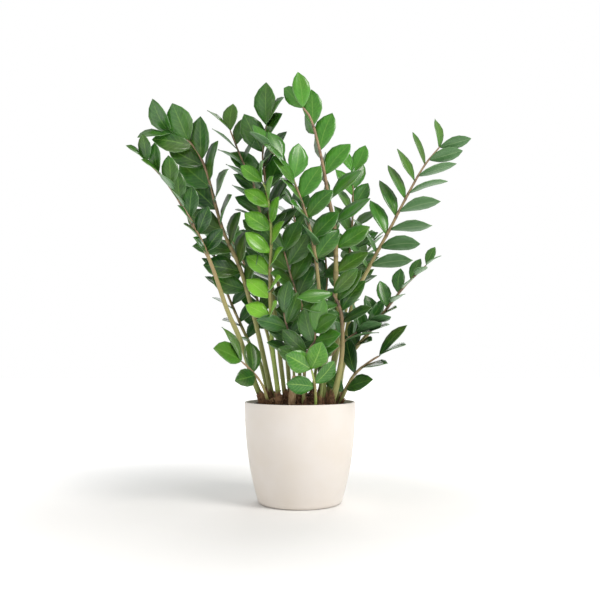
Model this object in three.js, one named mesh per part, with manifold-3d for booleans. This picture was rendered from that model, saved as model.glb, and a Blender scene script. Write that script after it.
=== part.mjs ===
// A potted ZZ plant: a round cream planter, the plastic grower's pot that stands in it, the soil with its
// rhizomes, the dry sheaths and the cut stalk at the crown, and the fronds. Millimetres, +Z up. The origin
// is the centre of the planter's underside, and -Y is the front.
//
// A ZZ frond is one compound leaf: a thick stalk that thins into a rachis, with a row of leaflets on each
// side. Each frond is one solid. A leaflet that would meet a neighbour grows at a slightly different angle,
// as it does on the plant, and a leaflet that has no room at any angle is left out.
import * as THREE from "three";
import { mergeVertices } from "three/addons/utils/BufferGeometryUtils.js";
import Module from "manifold-3d";

const wasm = await Module();
wasm.setup();

// ---- Driving dimensions ----
const planter = {
  rimRadius: 105,
  footInset: 27, // from the rim's radius to the foot's
  height: 189,
  wall: 3.5,
  floor: 4.5,
  footRound: 9,
  belly: 2.15, // how late the side turns in: 1 is a straight taper
};
const growerPot = {
  ringGap: 17, // from its rim to the planter's outside
  belowPlanter: 4, // from its rim down to the planter's rim
  taper: 26, // how much narrower its foot is than its rim
  wall: 1.4,
  floor: 1.6,
  rimBand: 12, // height of the wider band round the mouth
  rimProud: 2.2, // how far that band stands out of the side
  footRing: 4, // height of the ring that keeps its floor off the planter
  footRingWidth: 3,
  drainHoles: 8,
  drainRadius: 4,
  drainCircle: 0.66, // radius of the circle of holes, as a share of the foot's
};
const soil = { belowRim: 6, mound: 23 };
const plant = {
  spread: 1, // share of the drawn reach of every frond, across
  rise: 1, // share of the drawn height of every frond
  leafLength: 1, // share of each frond's stated leaflet length
  leafWidth: 1, // share of each frond's stated leaflet width
  stemThickness: 1, // share of each frond's stated stem radius
  rooted: 14, // how far a stem reaches below the soil's edge
  drawnSoilRadius: 83.8, // the soil radius that the routes below are drawn for
  crownRoom: 9, // room that a stem of the stated thickness takes at the crown's edge
};
const leaf = {
  thickness: 1.3,
  curl: 0.24, // how far a blade bends back along its length, in radians
  cup: 0.2, // how far its edges stand up, as a share of the half-width
  flank: 0.866, // half-width of its section, as a share of the outline's
  rings: 4,
  sway: 9, // how far a leaflet's angles stray from the row's, in degrees
  footLength: 9, // length at the foot that may be near its own stem and neighbours
};
const sheath = { height: 44, thickness: 0.9, wrap: 3.6, buried: 5 }; // wrap in radians, at the foot
const fit = 0.3; // gap between pieces that touch
const potSides = 36;
const stemSides = 6;
const stemStep = 46; // length of one segment of a stem

const potFloor = planter.floor + fit; // height of the grower's pot's underside
const growerRim = planter.height - growerPot.belowPlanter;
const growerRimRadius = planter.rimRadius - growerPot.ringGap;
const growerSideRadius = growerRimRadius - growerPot.rimProud; // just under the rim band
const growerFootRadius = growerRimRadius - growerPot.taper;
const soilLevel = growerRim - soil.belowRim;
const soilRadius = growerSideRadius - growerPot.wall - 2 * fit;
const crownRadius = soilRadius - plant.crownRoom * (plant.stemThickness - 1); // thicker stems stand closer
const reach = (plant.spread * crownRadius) / plant.drawnSoilRadius;
const degrees = THREE.MathUtils.degToRad;
const mix = THREE.MathUtils.lerp;

// ---- Finishes ----
const finishes = {
  planter: { color: 0xece4d7, roughness: 0.42 },
  growerPot: { color: 0x1d1b19, roughness: 0.55 },
  soil: { color: 0x3b2a22, roughness: 0.95 },
  rhizome: { color: 0x8a6f52, roughness: 0.8 },
  dry: { color: 0x8d7050, roughness: 0.75 },
  young: { color: 0x5da32b, roughness: 0.32 },
  mature: { color: 0x3f7a2b, roughness: 0.32 },
  old: { color: 0x2d5a24, roughness: 0.35 },
};

// ---- Fronds ----
// route: points of the stem, [x, y, height above the soil's edge], from the crown to the tip.
// stem: radius at the base and at the tip. age: picks the finish.
// face: the way the frond's upper side looks. fold: how far each row lifts out of the frond's plane.
// roll: how far a leaflet's upper side turns toward the frond's tip. lean: how much more it does so in one
// row than in the middle, and less in the other. open: a leaflet's angle to the rachis.
// size: size of a leaflet as a share of the largest. These three are [first pair, last pair].
// leaves: where along the route they start, how many pairs, and the largest leaflet's length and width.
const fronds = [
  {
    name: "frond_far_left",
    route: [
      [-66, -18, 0], [-88, -28, 56], [-111, -46, 127], [-134, -62, 182], [-163, -84, 268],
      [-197, -104, 341], [-238, -122, 406], [-271, -136, 440],
    ],
    stem: [5.9, 1.4], age: "mature", face: [0.45, -0.8, 0.4], fold: 52, roll: [10, 0],
    leaves: { from: 0.62, pairs: 7, length: 64, width: 34 }, open: [50, 26], size: [0.8, 0.75],
  },
  {
    name: "frond_left_broad",
    route: [
      [-50, 8, 0], [-73, 2, 110], [-91, -8, 184], [-114, -20, 263], [-147, -32, 338], [-178, -48, 449],
      [-209, -58, 497], [-242, -62, 509],
    ],
    stem: [5.6, 1.5], age: "mature", face: [-0.42, -0.87, 0.08], fold: 30, roll: [20, 5],
    leaves: { from: 0.42, pairs: 9, length: 92, width: 60 }, open: [50, 34], size: [0.75, 0.75],
  },
  {
    name: "frond_top",
    route: [
      [50, 2, 0], [72, -20, 147], [68, -28, 222], [66, -38, 324], [54, -44, 390],
      [39, -54, 469], [21, -66, 533], [4, -74, 556],
    ],
    stem: [6.7, 1.8], age: "mature", face: [-0.65, -0.7, 0.25], fold: -40, roll: [50, 8],
    leaves: { from: 0.45, pairs: 8, length: 92, width: 49 }, open: [66, 26], size: [0.8, 0.7],
  },
  {
    name: "frond_right_open",
    route: [
      [72, 8, 0], [86, 6, 118], [104, 10, 205], [136, 16, 271], [174, 22, 340], [206, 28, 401],
      [244, 36, 468], [279, 42, 512],
    ],
    stem: [5.4, 1.4], age: "mature", face: [-0.1, -0.9, 0.3], fold: 12, roll: [84, 74], lean: 32,
    leaves: { from: 0.5, pairs: 8, length: 92, width: 38 }, open: [58, 38], size: [0.9, 0.7],
  },
  {
    name: "frond_front_curved",
    route: [[56, -44, 0], [70, -55, 55], [77, -64, 109], [76, -74, 164], [69, -82, 191], [59, -90, 210]],
    stem: [6.5, 2], age: "mature", face: [-0.3, -0.8, 0.5], fold: 18, roll: [40, 30],
    leaves: { from: 0.74, pairs: 4, length: 75, width: 34 }, open: [60, 60], size: [0.9, 0.9],
  },
  {
    name: "frond_bright",
    route: [
      [-36, -50, 0], [-51, -54, 118], [-55, -58, 234], [-53, -64, 326], [-59, -72, 390],
      [-69, -80, 416],
    ],
    stem: [4.9, 1.6], age: "young", face: [-0.55, -0.8, 0.1], fold: 36, roll: [25, 10],
    leaves: { from: 0.42, pairs: 7, length: 68, width: 40 }, open: [62, 36], size: [0.8, 0.75],
  },
  {
    name: "frond_centre_right",
    route: [
      [46, -34, 0], [41, -40, 119], [33, -48, 246], [19, -56, 329], [-7, -66, 408],
      [-29, -74, 449], [-59, -80, 477],
    ],
    stem: [4.9, 1.4], age: "mature", face: [0.5, -0.7, 0.5], fold: 34, roll: [20, 0],
    leaves: { from: 0.55, pairs: 7, length: 81, width: 46 }, open: [56, 30], size: [0.85, 0.7],
  },
  {
    name: "frond_left_narrow",
    route: [
      [-26, -14, 0], [-36, -12, 80], [-44, -6, 146], [-62, 6, 291], [-90, 18, 426], [-112, 24, 475],
      [-139, 30, 543],
    ],
    stem: [4.7, 1.4], age: "mature", face: [0.2, -0.8, 0.5], fold: 25, roll: [70, 30],
    leaves: { from: 0.52, pairs: 8, length: 75, width: 39 }, open: [60, 34], size: [0.85, 0.8],
  },
  {
    name: "frond_left_upright",
    route: [[-18, 40, 0], [-32, 46, 167], [-50, 48, 282], [-71, 36, 460], [-73, 24, 498], [-64, 4, 546]],
    stem: [4.7, 1.4], age: "mature", face: [-0.35, -0.85, 0.3], fold: 28, roll: [50, 0],
    leaves: { from: 0.45, pairs: 8, length: 86, width: 49 }, open: [58, 22], size: [0.8, 0.95],
  },
  {
    name: "frond_right_upright",
    route: [[50, 44, 0], [92, 62, 188], [101, 74, 310], [106, 80, 361], [108, 84, 424], [108, 86, 472]],
    stem: [4.3, 1.4], age: "mature", face: [0.2, -0.85, 0.4], fold: 20, roll: [50, 5],
    leaves: { from: 0.5, pairs: 7, length: 73, width: 39 }, open: [56, 26], size: [0.85, 0.85],
  },
  {
    name: "frond_right_arching",
    route: [
      [68, -8, 0], [83, -20, 82], [105, -28, 112], [132, -38, 144], [157, -50, 179], [192, -66, 224],
      [230, -82, 262],
    ],
    stem: [4.7, 1.2], age: "mature", face: [-0.5, -0.6, 0.6], fold: 30, roll: [35, 20],
    leaves: { from: 0.4, pairs: 7, length: 62, width: 30 }, open: [56, 30], size: [0.9, 0.6],
  },
  {
    name: "frond_right_low",
    route: [[72, -22, 0], [91, -34, 46], [107, -46, 69], [132, -60, 89], [145, -68, 97]],
    stem: [3.8, 1.6], age: "mature", face: [-0.2, -0.6, 0.8], fold: 20, roll: [15, 0],
    leaves: { from: 0.3, pairs: 3, length: 84, width: 35 }, open: [50, 22], size: [0.9, 0.9],
  },
  {
    name: "frond_short_right",
    route: [[36, -60, 0], [46, -54, 87], [59, -50, 100], [83, -44, 124], [107, -44, 141], [124, -48, 154]],
    stem: [3.1, 1.2], age: "old", face: [-0.3, -0.7, 0.65], fold: 25, roll: [60, 50],
    leaves: { from: 0.6, pairs: 4, length: 73, width: 29 }, open: [60, 25], size: [0.9, 0.8],
  },
  {
    name: "frond_left_low",
    route: [[-56, -46, 0], [-68, -60, 42], [-86, -74, 68], [-106, -88, 88]],
    stem: [3.4, 1.4], age: "mature", face: [0.1, -0.7, 0.7], fold: 15, roll: [10, 0],
    leaves: { from: 0.68, pairs: 2, length: 68, width: 44 }, open: [60, 25], size: [0.85, 1],
  },
  {
    name: "frond_left_inner",
    route: [
      [-58, 34, 0], [-78, 40, 83], [-100, 44, 122], [-135, 52, 197], [-155, 58, 248], [-182, 62, 328],
    ],
    stem: [4.3, 1.3], age: "old", face: [0.4, -0.7, 0.5], fold: 22, roll: [40, 15],
    leaves: { from: 0.4, pairs: 7, length: 62, width: 34 }, open: [58, 30], size: [0.8, 0.8],
  },
  {
    name: "frond_centre_low",
    route: [[6, -60, 0], [10, -72, 90], [20, -80, 113], [27, -86, 124], [27, -92, 140]],
    stem: [3.8, 1.4], age: "mature", face: [-0.1, -0.85, 0.5], fold: 12, roll: [10, 10],
    leaves: { from: 0.62, pairs: 4, length: 70, width: 38 }, open: [62, 30], size: [0.8, 0.9],
  },
  {
    name: "frond_centre_inner",
    route: [[8, 0, 0], [8, -10, 128], [4, -18, 188], [-8, -26, 216], [-21, -36, 259], [-30, -44, 292]],
    stem: [3.6, 1.4], age: "old", face: [0.3, -0.9, 0.3], fold: 12, roll: [20, 10],
    leaves: { from: 0.5, pairs: 6, length: 73, width: 43 }, open: [58, 34], size: [0.8, 0.9],
  },
  {
    name: "frond_centre_small",
    route: [[-8, -28, 0], [-13, -40, 90], [-18, -48, 128], [-24, -56, 150], [-30, -64, 176]],
    stem: [3.4, 1.4], age: "old", face: [0.1, -0.85, 0.5], fold: 12, roll: [30, 10],
    leaves: { from: 0.6, pairs: 4, length: 68, width: 34 }, open: [60, 34], size: [0.8, 0.9],
  },
  {
    name: "frond_front_young",
    route: [[28, -70, 0], [28, -78, 30], [25, -88, 54], [20, -96, 74]],
    stem: [3.2, 1.8], age: "young", face: [0, -0.85, 0.5], fold: 8, roll: [0, 0],
    leaves: { from: 0.62, pairs: 2, length: 58, width: 40 }, open: [70, 34], size: [0.9, 1],
  },
  {
    name: "frond_inner_dark",
    route: [[20, 30, 0], [43, 36, 147], [53, 40, 240], [51, 42, 282], [47, 42, 325]],
    stem: [3.8, 1.4], age: "old", face: [0.1, -0.9, 0.4], fold: 15, roll: [30, 10],
    leaves: { from: 0.5, pairs: 6, length: 75, width: 41 }, open: [56, 30], size: [0.8, 0.8],
  },
  {
    name: "frond_back_centre",
    route: [[0, 62, 0], [-2, 84, 169], [-6, 108, 333], [-10, 114, 367], [-17, 120, 410]],
    stem: [4.1, 1.4], age: "old", face: [0.1, -0.7, 0.6], fold: 15, roll: [50, 20],
    leaves: { from: 0.45, pairs: 8, length: 75, width: 41 }, open: [60, 30], size: [0.8, 0.8],
  },
  {
    name: "frond_back_left",
    route: [[-42, 58, 0], [-56, 74, 100], [-84, 96, 200], [-118, 128, 290], [-152, 164, 350]],
    stem: [4.7, 1.4], age: "mature", face: [0.3, -0.4, 0.8], fold: 20, roll: [20, 10],
    leaves: { from: 0.42, pairs: 8, length: 77, width: 44 }, open: [58, 30], size: [0.8, 0.7],
  },
  {
    name: "frond_back_right",
    route: [[34, 66, 0], [56, 84, 100], [84, 108, 190], [118, 140, 270], [150, 172, 330]],
    stem: [4.7, 1.4], age: "mature", face: [-0.3, -0.4, 0.8], fold: 20, roll: [20, 10],
    leaves: { from: 0.42, pairs: 8, length: 77, width: 44 }, open: [58, 30], size: [0.8, 0.7],
  },
];

// A stalk that was cut off and dried out, drawn like a frond's stem.
const stub = { name: "cut_stalk", route: [[-16, -62, 0], [-13, -67, 34], [-8, -72, 60]], stem: [7, 5.5] };

// Rhizomes: [x, y] on the soil, how far the middle is below its edge level, half-sizes and turn in degrees.
const rhizomes = [
  { name: "rhizome_front", at: [-48, -30], below: -10, half: [13, 9, 8], turn: 20 },
  { name: "rhizome_right", at: [43, -59], below: 0, half: [10, 8, 8], turn: -30 },
  { name: "rhizome_back", at: [20, 52], below: -10, half: [13, 9, 8], turn: 60 },
];

// Stems that still have the dry sheath they grew out of, and the way the sheath's
// middle faces: 0 to the right and 90 to the front.
const sheathed = [
  { name: "sheath_far_left", frond: "frond_far_left", facing: 100 },
  { name: "sheath_bright", frond: "frond_bright", facing: 120 },
  { name: "sheath_left_narrow", frond: "frond_left_narrow", facing: 80 },
  { name: "sheath_front_curved", frond: "frond_front_curved", facing: 150 },
  { name: "sheath_right_open", frond: "frond_right_open", facing: 60 },
];

// ---- Helpers ----

// A three.js geometry as a manifold-3d solid.
function solidOf(geometry) {
  const plain = geometry.index ? geometry.toNonIndexed() : geometry.clone();
  plain.deleteAttribute("normal");
  plain.deleteAttribute("uv");
  const merged = mergeVertices(plain, 1e-4);
  return new wasm.Manifold(
    new wasm.Mesh({
      numProp: 3,
      vertProperties: merged.attributes.position.array,
      triVerts: new Uint32Array(merged.index.array),
    }),
  );
}

// A manifold-3d solid as a three.js geometry.
function geometryOf(solid) {
  const mesh = solid.getMesh();
  const geometry = new THREE.BufferGeometry();
  geometry.setAttribute("position", new THREE.BufferAttribute(mesh.vertProperties, mesh.numProp));
  geometry.setIndex(new THREE.BufferAttribute(mesh.triVerts, 1));
  return geometry;
}

// Passes each vertex of a geometry to place(vertex), which moves it.
function reshape(geometry, place) {
  const position = geometry.attributes.position;
  const vertex = new THREE.Vector3();
  for (let i = 0; i < position.count; i++) {
    place(vertex.fromBufferAttribute(position, i));
    position.setXYZ(i, vertex.x, vertex.y, vertex.z);
  }
  return geometry;
}

// A solid turned round Z from a profile of [radius, height] points that starts and ends on the axis.
function turned(profile, sides) {
  const points = profile.map(([radius, height]) => new THREE.Vector2(radius, height));
  return new THREE.LatheGeometry(points, sides).rotateX(Math.PI / 2);
}

// ---- Planter ----

// Outer radius of the planter's side at a height.
function planterRadius(height) {
  const down = 1 - height / planter.height;
  return planter.rimRadius - planter.footInset * down ** planter.belly;
}

function makePlanter() {
  const { height, wall, floor, footRound } = planter;
  const steps = 6;
  const outside = [];
  const inside = [];
  for (let i = 0; i <= steps; i++) {
    const outer = mix(footRound, height, i / steps);
    outside.push([planterRadius(outer), outer]);
    const inner = mix(height, floor, i / steps);
    inside.push([planterRadius(Math.max(inner, footRound)) - wall, inner]);
  }
  const flat = planterRadius(footRound) - footRound;
  const foot = [0, 30, 60].map((turn) => {
    const angle = degrees(turn);
    return [flat + footRound * Math.sin(angle), footRound * (1 - Math.cos(angle))];
  });
  return turned([[0, 0], ...foot, ...outside, ...inside, [0, floor]], potSides);
}

// ---- Grower's pot ----
function makeGrowerPot() {
  const { wall, floor, rimBand, footRing, footRingWidth, drainHoles, drainRadius, drainCircle } = growerPot;
  const underside = potFloor + footRing;
  const profile = [
    [0, underside],
    [growerFootRadius - footRingWidth - wall, underside],
    [growerFootRadius - footRingWidth, potFloor],
    [growerFootRadius, potFloor],
    [growerSideRadius, growerRim - rimBand],
    [growerRimRadius, growerRim - rimBand],
    [growerRimRadius, growerRim],
    [growerRimRadius - wall, growerRim],
    [growerSideRadius - wall, growerRim - rimBand],
    [growerFootRadius - wall, underside + floor],
    [0, underside + floor],
  ];
  let pot = solidOf(turned(profile, potSides));
  const drill = new THREE.CylinderGeometry(drainRadius, drainRadius, 3 * floor, 8);
  drill.rotateX(Math.PI / 2).translate(growerFootRadius * drainCircle, 0, underside + floor / 2);
  for (let i = 0; i < drainHoles; i++) {
    drill.rotateZ((2 * Math.PI) / drainHoles);
    pot = pot.subtract(solidOf(drill));
  }
  return pot;
}

// ---- Stems ----

// The corners of a stem's line: its route at the plant's spread and rise, smoothed, from below the soil.
function stemLine(spec) {
  const points = spec.route.map(
    ([x, y, height]) => new THREE.Vector3(x * reach, y * reach, soilLevel + height * plant.rise),
  );
  const root = points[0].clone();
  root.z -= plant.rooted;
  const smooth = new THREE.CatmullRomCurve3([root, ...points], false, "catmullrom", 0.5);
  return smooth.getSpacedPoints(Math.max(3, Math.round(smooth.getLength() / stemStep)));
}

// The point of a line at a share of its length.
function pointAt(corners, share) {
  const along = THREE.MathUtils.clamp(share, 0, 1) * (corners.length - 1);
  const index = Math.min(Math.floor(along), corners.length - 2);
  return corners[index].clone().lerp(corners[index + 1], along - index);
}

// Radius of a stem at a share of its length: thick at the crown, thin at the tip.
function stemRadius(spec, share) {
  const [base, tip] = spec.stem;
  return plant.stemThickness * mix(tip, base, (1 - share) ** 0.85);
}

// Point and axes of a line at a share of its length. The face axis is as near as it can be to the given
// direction, and the side axis is square to it and to the tangent.
function frameAt(line, share, toward) {
  const step = 0.02;
  const point = pointAt(line, share);
  const tangent = pointAt(line, share + step).sub(pointAt(line, share - step)).normalize();
  const face = toward.clone().addScaledVector(tangent, -toward.dot(tangent)).normalize();
  const side = new THREE.Vector3().crossVectors(tangent, face);
  return { point, tangent, face, side };
}

// A stem, thicker by extra all round.
function makeStem(spec, line, extra = 0) {
  const bar = new THREE.CylinderGeometry(1, 1, 1, stemSides, line.length - 1);
  return reshape(bar, (vertex) => {
    const share = vertex.y + 0.5;
    const { point, face, side, tangent } = frameAt(line, share, new THREE.Vector3(0.3, -1, 0.2));
    const radius = stemRadius(spec, share) + extra;
    const past = share === 0 ? -extra : 0;
    const { x, z } = vertex;
    vertex.copy(point).addScaledVector(side, x * radius).addScaledVector(face, z * radius);
    vertex.addScaledVector(tangent, past);
  });
}

// ---- Leaflets ----

// Half-width of a leaflet at a share of its length, as a share of its greatest half-width.
const leafOutline = (share) => Math.sin(Math.PI * share ** 1.08) ** 0.75;

// A leaflet as a closed blade with its keel below. It starts at the rachis and grows along one direction
// with its upper side facing another. With extra it is a thicker blade that stands clear of it all round.
function makeLeaflet({ start, along, up, length, width }, extra = 0) {
  const across = new THREE.Vector3().crossVectors(up, along);
  const sides = extra > 0 ? 5 : 3;
  const blade = new THREE.SphereGeometry(1, sides, leaf.rings, Math.PI / 2 - Math.PI / sides);
  return reshape(blade, (vertex) => {
    const share = Math.acos(THREE.MathUtils.clamp(vertex.y, -1, 1)) / Math.PI;
    const ring = Math.sin(Math.PI * share) || 1;
    const half = (width / 2) * leafOutline(share) * leaf.flank + extra;
    const thick = leaf.thickness / 2 + extra;
    const pointed = share < 0.01 || share > 0.99 ? 0 : 1;
    const edge = Math.abs(vertex.x) < 0.1 * ring ? 0 : Math.sign(vertex.x);
    const lateral = pointed * half * edge;
    const bend = leaf.curl * share;
    const forward = ((length + extra) * Math.sin(bend)) / leaf.curl;
    const drop = (length * (1 - Math.cos(bend))) / leaf.curl;
    const rise = (pointed * thick * vertex.z) / ring + leaf.cup * Math.abs(lateral) - drop;
    vertex.copy(start).addScaledVector(along, forward);
    vertex.addScaledVector(across, lateral).addScaledVector(up, rise);
  });
}

// Where the leaflets of a frond start, and their sizes, from the first pair to the last.
function leafletPlaces(spec) {
  const { from, pairs } = spec.leaves;
  const [first, last] = spec.size;
  const places = [];
  for (let i = 0; i < pairs; i++) {
    for (const row of [-1, 1]) {
      const stagger = i === pairs - 1 ? 0 : 0.16 * row;
      const order = THREE.MathUtils.clamp((i + stagger) / (pairs - 1), 0, 1);
      const size = 1 - (1 - first) * (1 - order) ** 2 - (1 - last) * order ** 2;
      const jitter = Math.sin(7.3 * i + 2.1 * row + spec.route[1][0]);
      places.push({ row, order, share: mix(from, 0.995, order), size, jitter });
    }
  }
  return places;
}

// The pose of a leaflet: swing opens it from the rachis and lift raises it, both in degrees.
function leafletPose(spec, line, place, [swing, lift]) {
  const { row, order, share, size, jitter } = place;
  const { point, tangent, face, side } = frameAt(line, share, new THREE.Vector3(...spec.face));
  const open = degrees(mix(...spec.open, order) + leaf.sway * jitter + swing);
  const fold = degrees(spec.fold + leaf.sway * jitter + lift);
  const roll = degrees(mix(...spec.roll, order) + row * (spec.lean ?? 0) + leaf.sway * jitter);
  const out = side.clone().multiplyScalar(row * Math.cos(fold)).addScaledVector(face, Math.sin(fold));
  const along = tangent.clone().multiplyScalar(Math.cos(open)).addScaledVector(out, Math.sin(open));
  const flat = face.clone().multiplyScalar(Math.cos(fold)).addScaledVector(side, -row * Math.sin(fold));
  flat.addScaledVector(along, -flat.dot(along)).normalize();
  const tipward = tangent.clone().addScaledVector(along, -tangent.dot(along)).normalize();
  return {
    start: point,
    along,
    up: flat.multiplyScalar(Math.cos(roll)).addScaledVector(tipward, Math.sin(roll)),
    length: spec.leaves.length * size * plant.leafLength,
    width: spec.leaves.width * size * plant.leafWidth,
  };
}

// Turns tried for a leaflet with a neighbour in its way, [swing, lift] in degrees, smallest first.
const turns = [
  [0, 0], [0, 10], [0, -10], [9, 0], [-9, 0], [9, 10], [-9, -10], [9, -10], [-9, 10], [0, 20],
  [0, -20], [16, 0], [-16, 0], [14, 18], [-14, -18], [14, -18], [-14, 18], [0, 32], [0, -32],
];

// A solid with its bounding box.
const boxed = (solid) => ({ solid, box: solid.boundingBox() });

// True if a solid meets any of the others.
function meetsAny(solid, others) {
  const { min, max } = solid.boundingBox();
  const near = ({ box }) => [0, 1, 2].every((k) => min[k] <= box.max[k] && box.min[k] <= max[k]);
  return others.some((other) => near(other) && !solid.intersect(other.solid).isEmpty());
}

// Grows the leaflets frond by frond, each clear of everything that is there before it, and returns the
// fronds' solids.
function growFronds(standing) {
  const stems = fronds.map((spec) => boxed(solidOf(makeStem(spec, stemLine(spec)))));
  const blades = []; // the leaflets of the fronds grown so far
  return fronds.map((spec, index) => {
    const line = stemLine(spec);
    const taken = [...standing, ...blades, ...stems.filter((stem) => stem !== stems[index])];
    const own = [];
    let frond = stems[index].solid;
    for (const place of leafletPlaces(spec)) {
      const poses = turns.map((turn) => leafletPose(spec, line, place, turn));
      const clear = poses.find((pose) => {
        const start = pose.start.clone().addScaledVector(pose.along, leaf.footLength);
        const blade = { ...pose, start, length: pose.length - leaf.footLength };
        const clearOfOthers = !meetsAny(solidOf(makeLeaflet(pose, 2 * fit)), taken);
        return clearOfOthers && !meetsAny(solidOf(makeLeaflet(blade, 2 * fit)), own);
      });
      if (clear) {
        const blade = solidOf(makeLeaflet(clear));
        own.push(boxed(blade));
        frond = frond.add(blade);
      }
    }
    blades.push(...own);
    return frond;
  });
}

// ---- Rhizomes and sheaths ----

// A rhizome: a lumpy tuber, half-buried, bigger by extra all round.
function makeRhizome({ at, below, half, turn }, extra = 0) {
  const lump = reshape(new THREE.SphereGeometry(1, 9, 6), (vertex) => {
    const bulge = 1 + 0.09 * Math.sin(5 * vertex.x + 2 * vertex.z) + 0.07 * Math.cos(6 * vertex.y);
    vertex.set(...half.map((size, k) => vertex.getComponent(k) * (size * reach * bulge + extra)));
  });
  return lump.rotateZ(degrees(turn)).translate(at[0] * reach, at[1] * reach, soilLevel - below);
}

// A dry sheath: a thin curved husk that wraps a stem's foot and narrows to a tongue, bigger by extra.
function makeSheath({ frond, facing }, extra = 0) {
  const spec = fronds.find(({ name }) => name === frond);
  const line = stemLine(spec);
  const total = line[0].distanceTo(line[1]) * (line.length - 1);
  const husk = new THREE.BoxGeometry(1, 1, 1, 5, 1, 3);
  return reshape(husk, (vertex) => {
    const height = (vertex.z + 0.5) * sheath.height;
    const above = plant.rooted - sheath.buried + height + 2 * extra * vertex.z;
    const share = above / total;
    const { point, face, side } = frameAt(line, share, new THREE.Vector3(0.3, -1, 0.2));
    const narrowing = 1 - 0.85 * (vertex.z + 0.5) ** 1.6;
    const inner = stemRadius(spec, 0) + 3 * fit + 0.05 * height;
    const radius = inner + (vertex.y + 0.5) * sheath.thickness + 2 * extra * vertex.y;
    const angle = degrees(facing) + vertex.x * (sheath.wrap * narrowing + (2 * extra) / radius);
    vertex.copy(point).addScaledVector(side, radius * Math.cos(angle));
    vertex.addScaledVector(face, radius * Math.sin(angle));
  });
}

// ---- Soil ----

// The soil: what the grower's pot holds, mounded at the top, with the hollows that the given solids fill.
function makeSoil(hollows) {
  const { wall, floor, rimBand, footRing } = growerPot;
  const bottom = potFloor + footRing + floor + fit;
  const steps = 3;
  const crown = [];
  for (let i = 0; i <= steps; i++) {
    const out = 1 - i / steps;
    crown.push([soilRadius * out, soilLevel + soil.mound * (1 - out ** 2)]);
  }
  const profile = [
    [0, bottom],
    [growerFootRadius - wall - 2 * fit, bottom],
    [soilRadius, growerRim - rimBand],
    ...crown,
  ];
  return hollows.reduce((body, hollow) => body.subtract(hollow), solidOf(turned(profile, potSides)));
}

// ---- Assembly ----
const group = new THREE.Group();

function addPiece(name, solid, finish) {
  const material = new THREE.MeshStandardMaterial({ ...finish, metalness: 0 });
  const mesh = new THREE.Mesh(geometryOf(solid), material);
  mesh.name = name;
  group.add(mesh);
}

const sleeves = fronds.map((spec) => solidOf(makeStem(spec, stemLine(spec), fit)));
const pieces = {
  planter: solidOf(makePlanter()),
  grower_pot: makeGrowerPot(),
  [stub.name]: solidOf(makeStem(stub, stemLine(stub))),
};
const hollows = [...sleeves, solidOf(makeStem(stub, stemLine(stub), fit))];
for (const spec of rhizomes) {
  pieces[spec.name] = sleeves.reduce((body, sleeve) => body.subtract(sleeve), solidOf(makeRhizome(spec)));
  hollows.push(solidOf(makeRhizome(spec, fit)));
}
for (const spec of sheathed) {
  pieces[spec.name] = solidOf(makeSheath(spec));
  hollows.push(solidOf(makeSheath(spec, fit)));
}
pieces.soil = makeSoil(hollows);
const grown = growFronds(Object.values(pieces).map(boxed));

addPiece("planter", pieces.planter, finishes.planter);
addPiece("grower_pot", pieces.grower_pot, finishes.growerPot);
addPiece("soil", pieces.soil, finishes.soil);
rhizomes.forEach(({ name }) => addPiece(name, pieces[name], finishes.rhizome));
[...sheathed, stub].forEach(({ name }) => addPiece(name, pieces[name], finishes.dry));
fronds.forEach(({ name, age }, i) => addPiece(name, grown[i], finishes[age]));

export default group;
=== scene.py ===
"""A potted ZZ plant: planter, grower's pot, soil, rhizomes, husks, a cut stalk and the fronds."""
import functools
import logging
import math
import random
from dataclasses import dataclass, field
from enum import Enum
from typing import Any, Callable, Sequence

import bmesh
import bpy
from mathutils import Matrix, Vector, kdtree, noise


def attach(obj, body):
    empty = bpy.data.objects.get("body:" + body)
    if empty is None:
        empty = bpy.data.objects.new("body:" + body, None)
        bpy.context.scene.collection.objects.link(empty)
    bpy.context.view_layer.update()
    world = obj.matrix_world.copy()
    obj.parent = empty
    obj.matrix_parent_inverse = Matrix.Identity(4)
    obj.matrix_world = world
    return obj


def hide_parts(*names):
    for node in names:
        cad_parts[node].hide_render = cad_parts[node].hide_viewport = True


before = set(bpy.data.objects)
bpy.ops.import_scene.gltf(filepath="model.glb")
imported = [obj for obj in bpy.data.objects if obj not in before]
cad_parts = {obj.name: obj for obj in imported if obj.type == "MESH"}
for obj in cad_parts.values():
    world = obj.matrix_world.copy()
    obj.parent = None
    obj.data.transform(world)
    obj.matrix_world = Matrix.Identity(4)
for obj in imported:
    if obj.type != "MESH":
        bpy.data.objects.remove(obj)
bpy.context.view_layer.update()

LOG = logging.getLogger("zz_plant")
MM = 0.001
ANY_WAY = (0, 6.3)  # radians, for a bit that can lie any way round
BODY = "root"


# ---------------------------------------------------------------- helpers


def mix(a: float, b: float, share: float) -> float:
    """Return the value a share of the way from a to b."""
    return a + (b - a) * share


def clamp(value: float, low: float = 0.0, high: float = 1.0) -> float:
    """Return the value held between two limits."""
    return max(low, min(high, value))


def linear(hex_colour: str) -> tuple[float, float, float, float]:
    """Turn an sRGB hex colour into a linear RGBA colour.

    Args:
        hex_colour: Six hex digits, such as "ece4d7".

    Returns:
        Red, green and blue from 0 to 1, and an alpha of 1.
    """
    parts = [int(hex_colour[i : i + 2], 16) / 255 for i in (0, 2, 4)]
    made = [p / 12.92 if p <= 0.04045 else ((p + 0.055) / 1.055) ** 2.4 for p in parts]
    return (made[0], made[1], made[2], 1.0)


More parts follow.
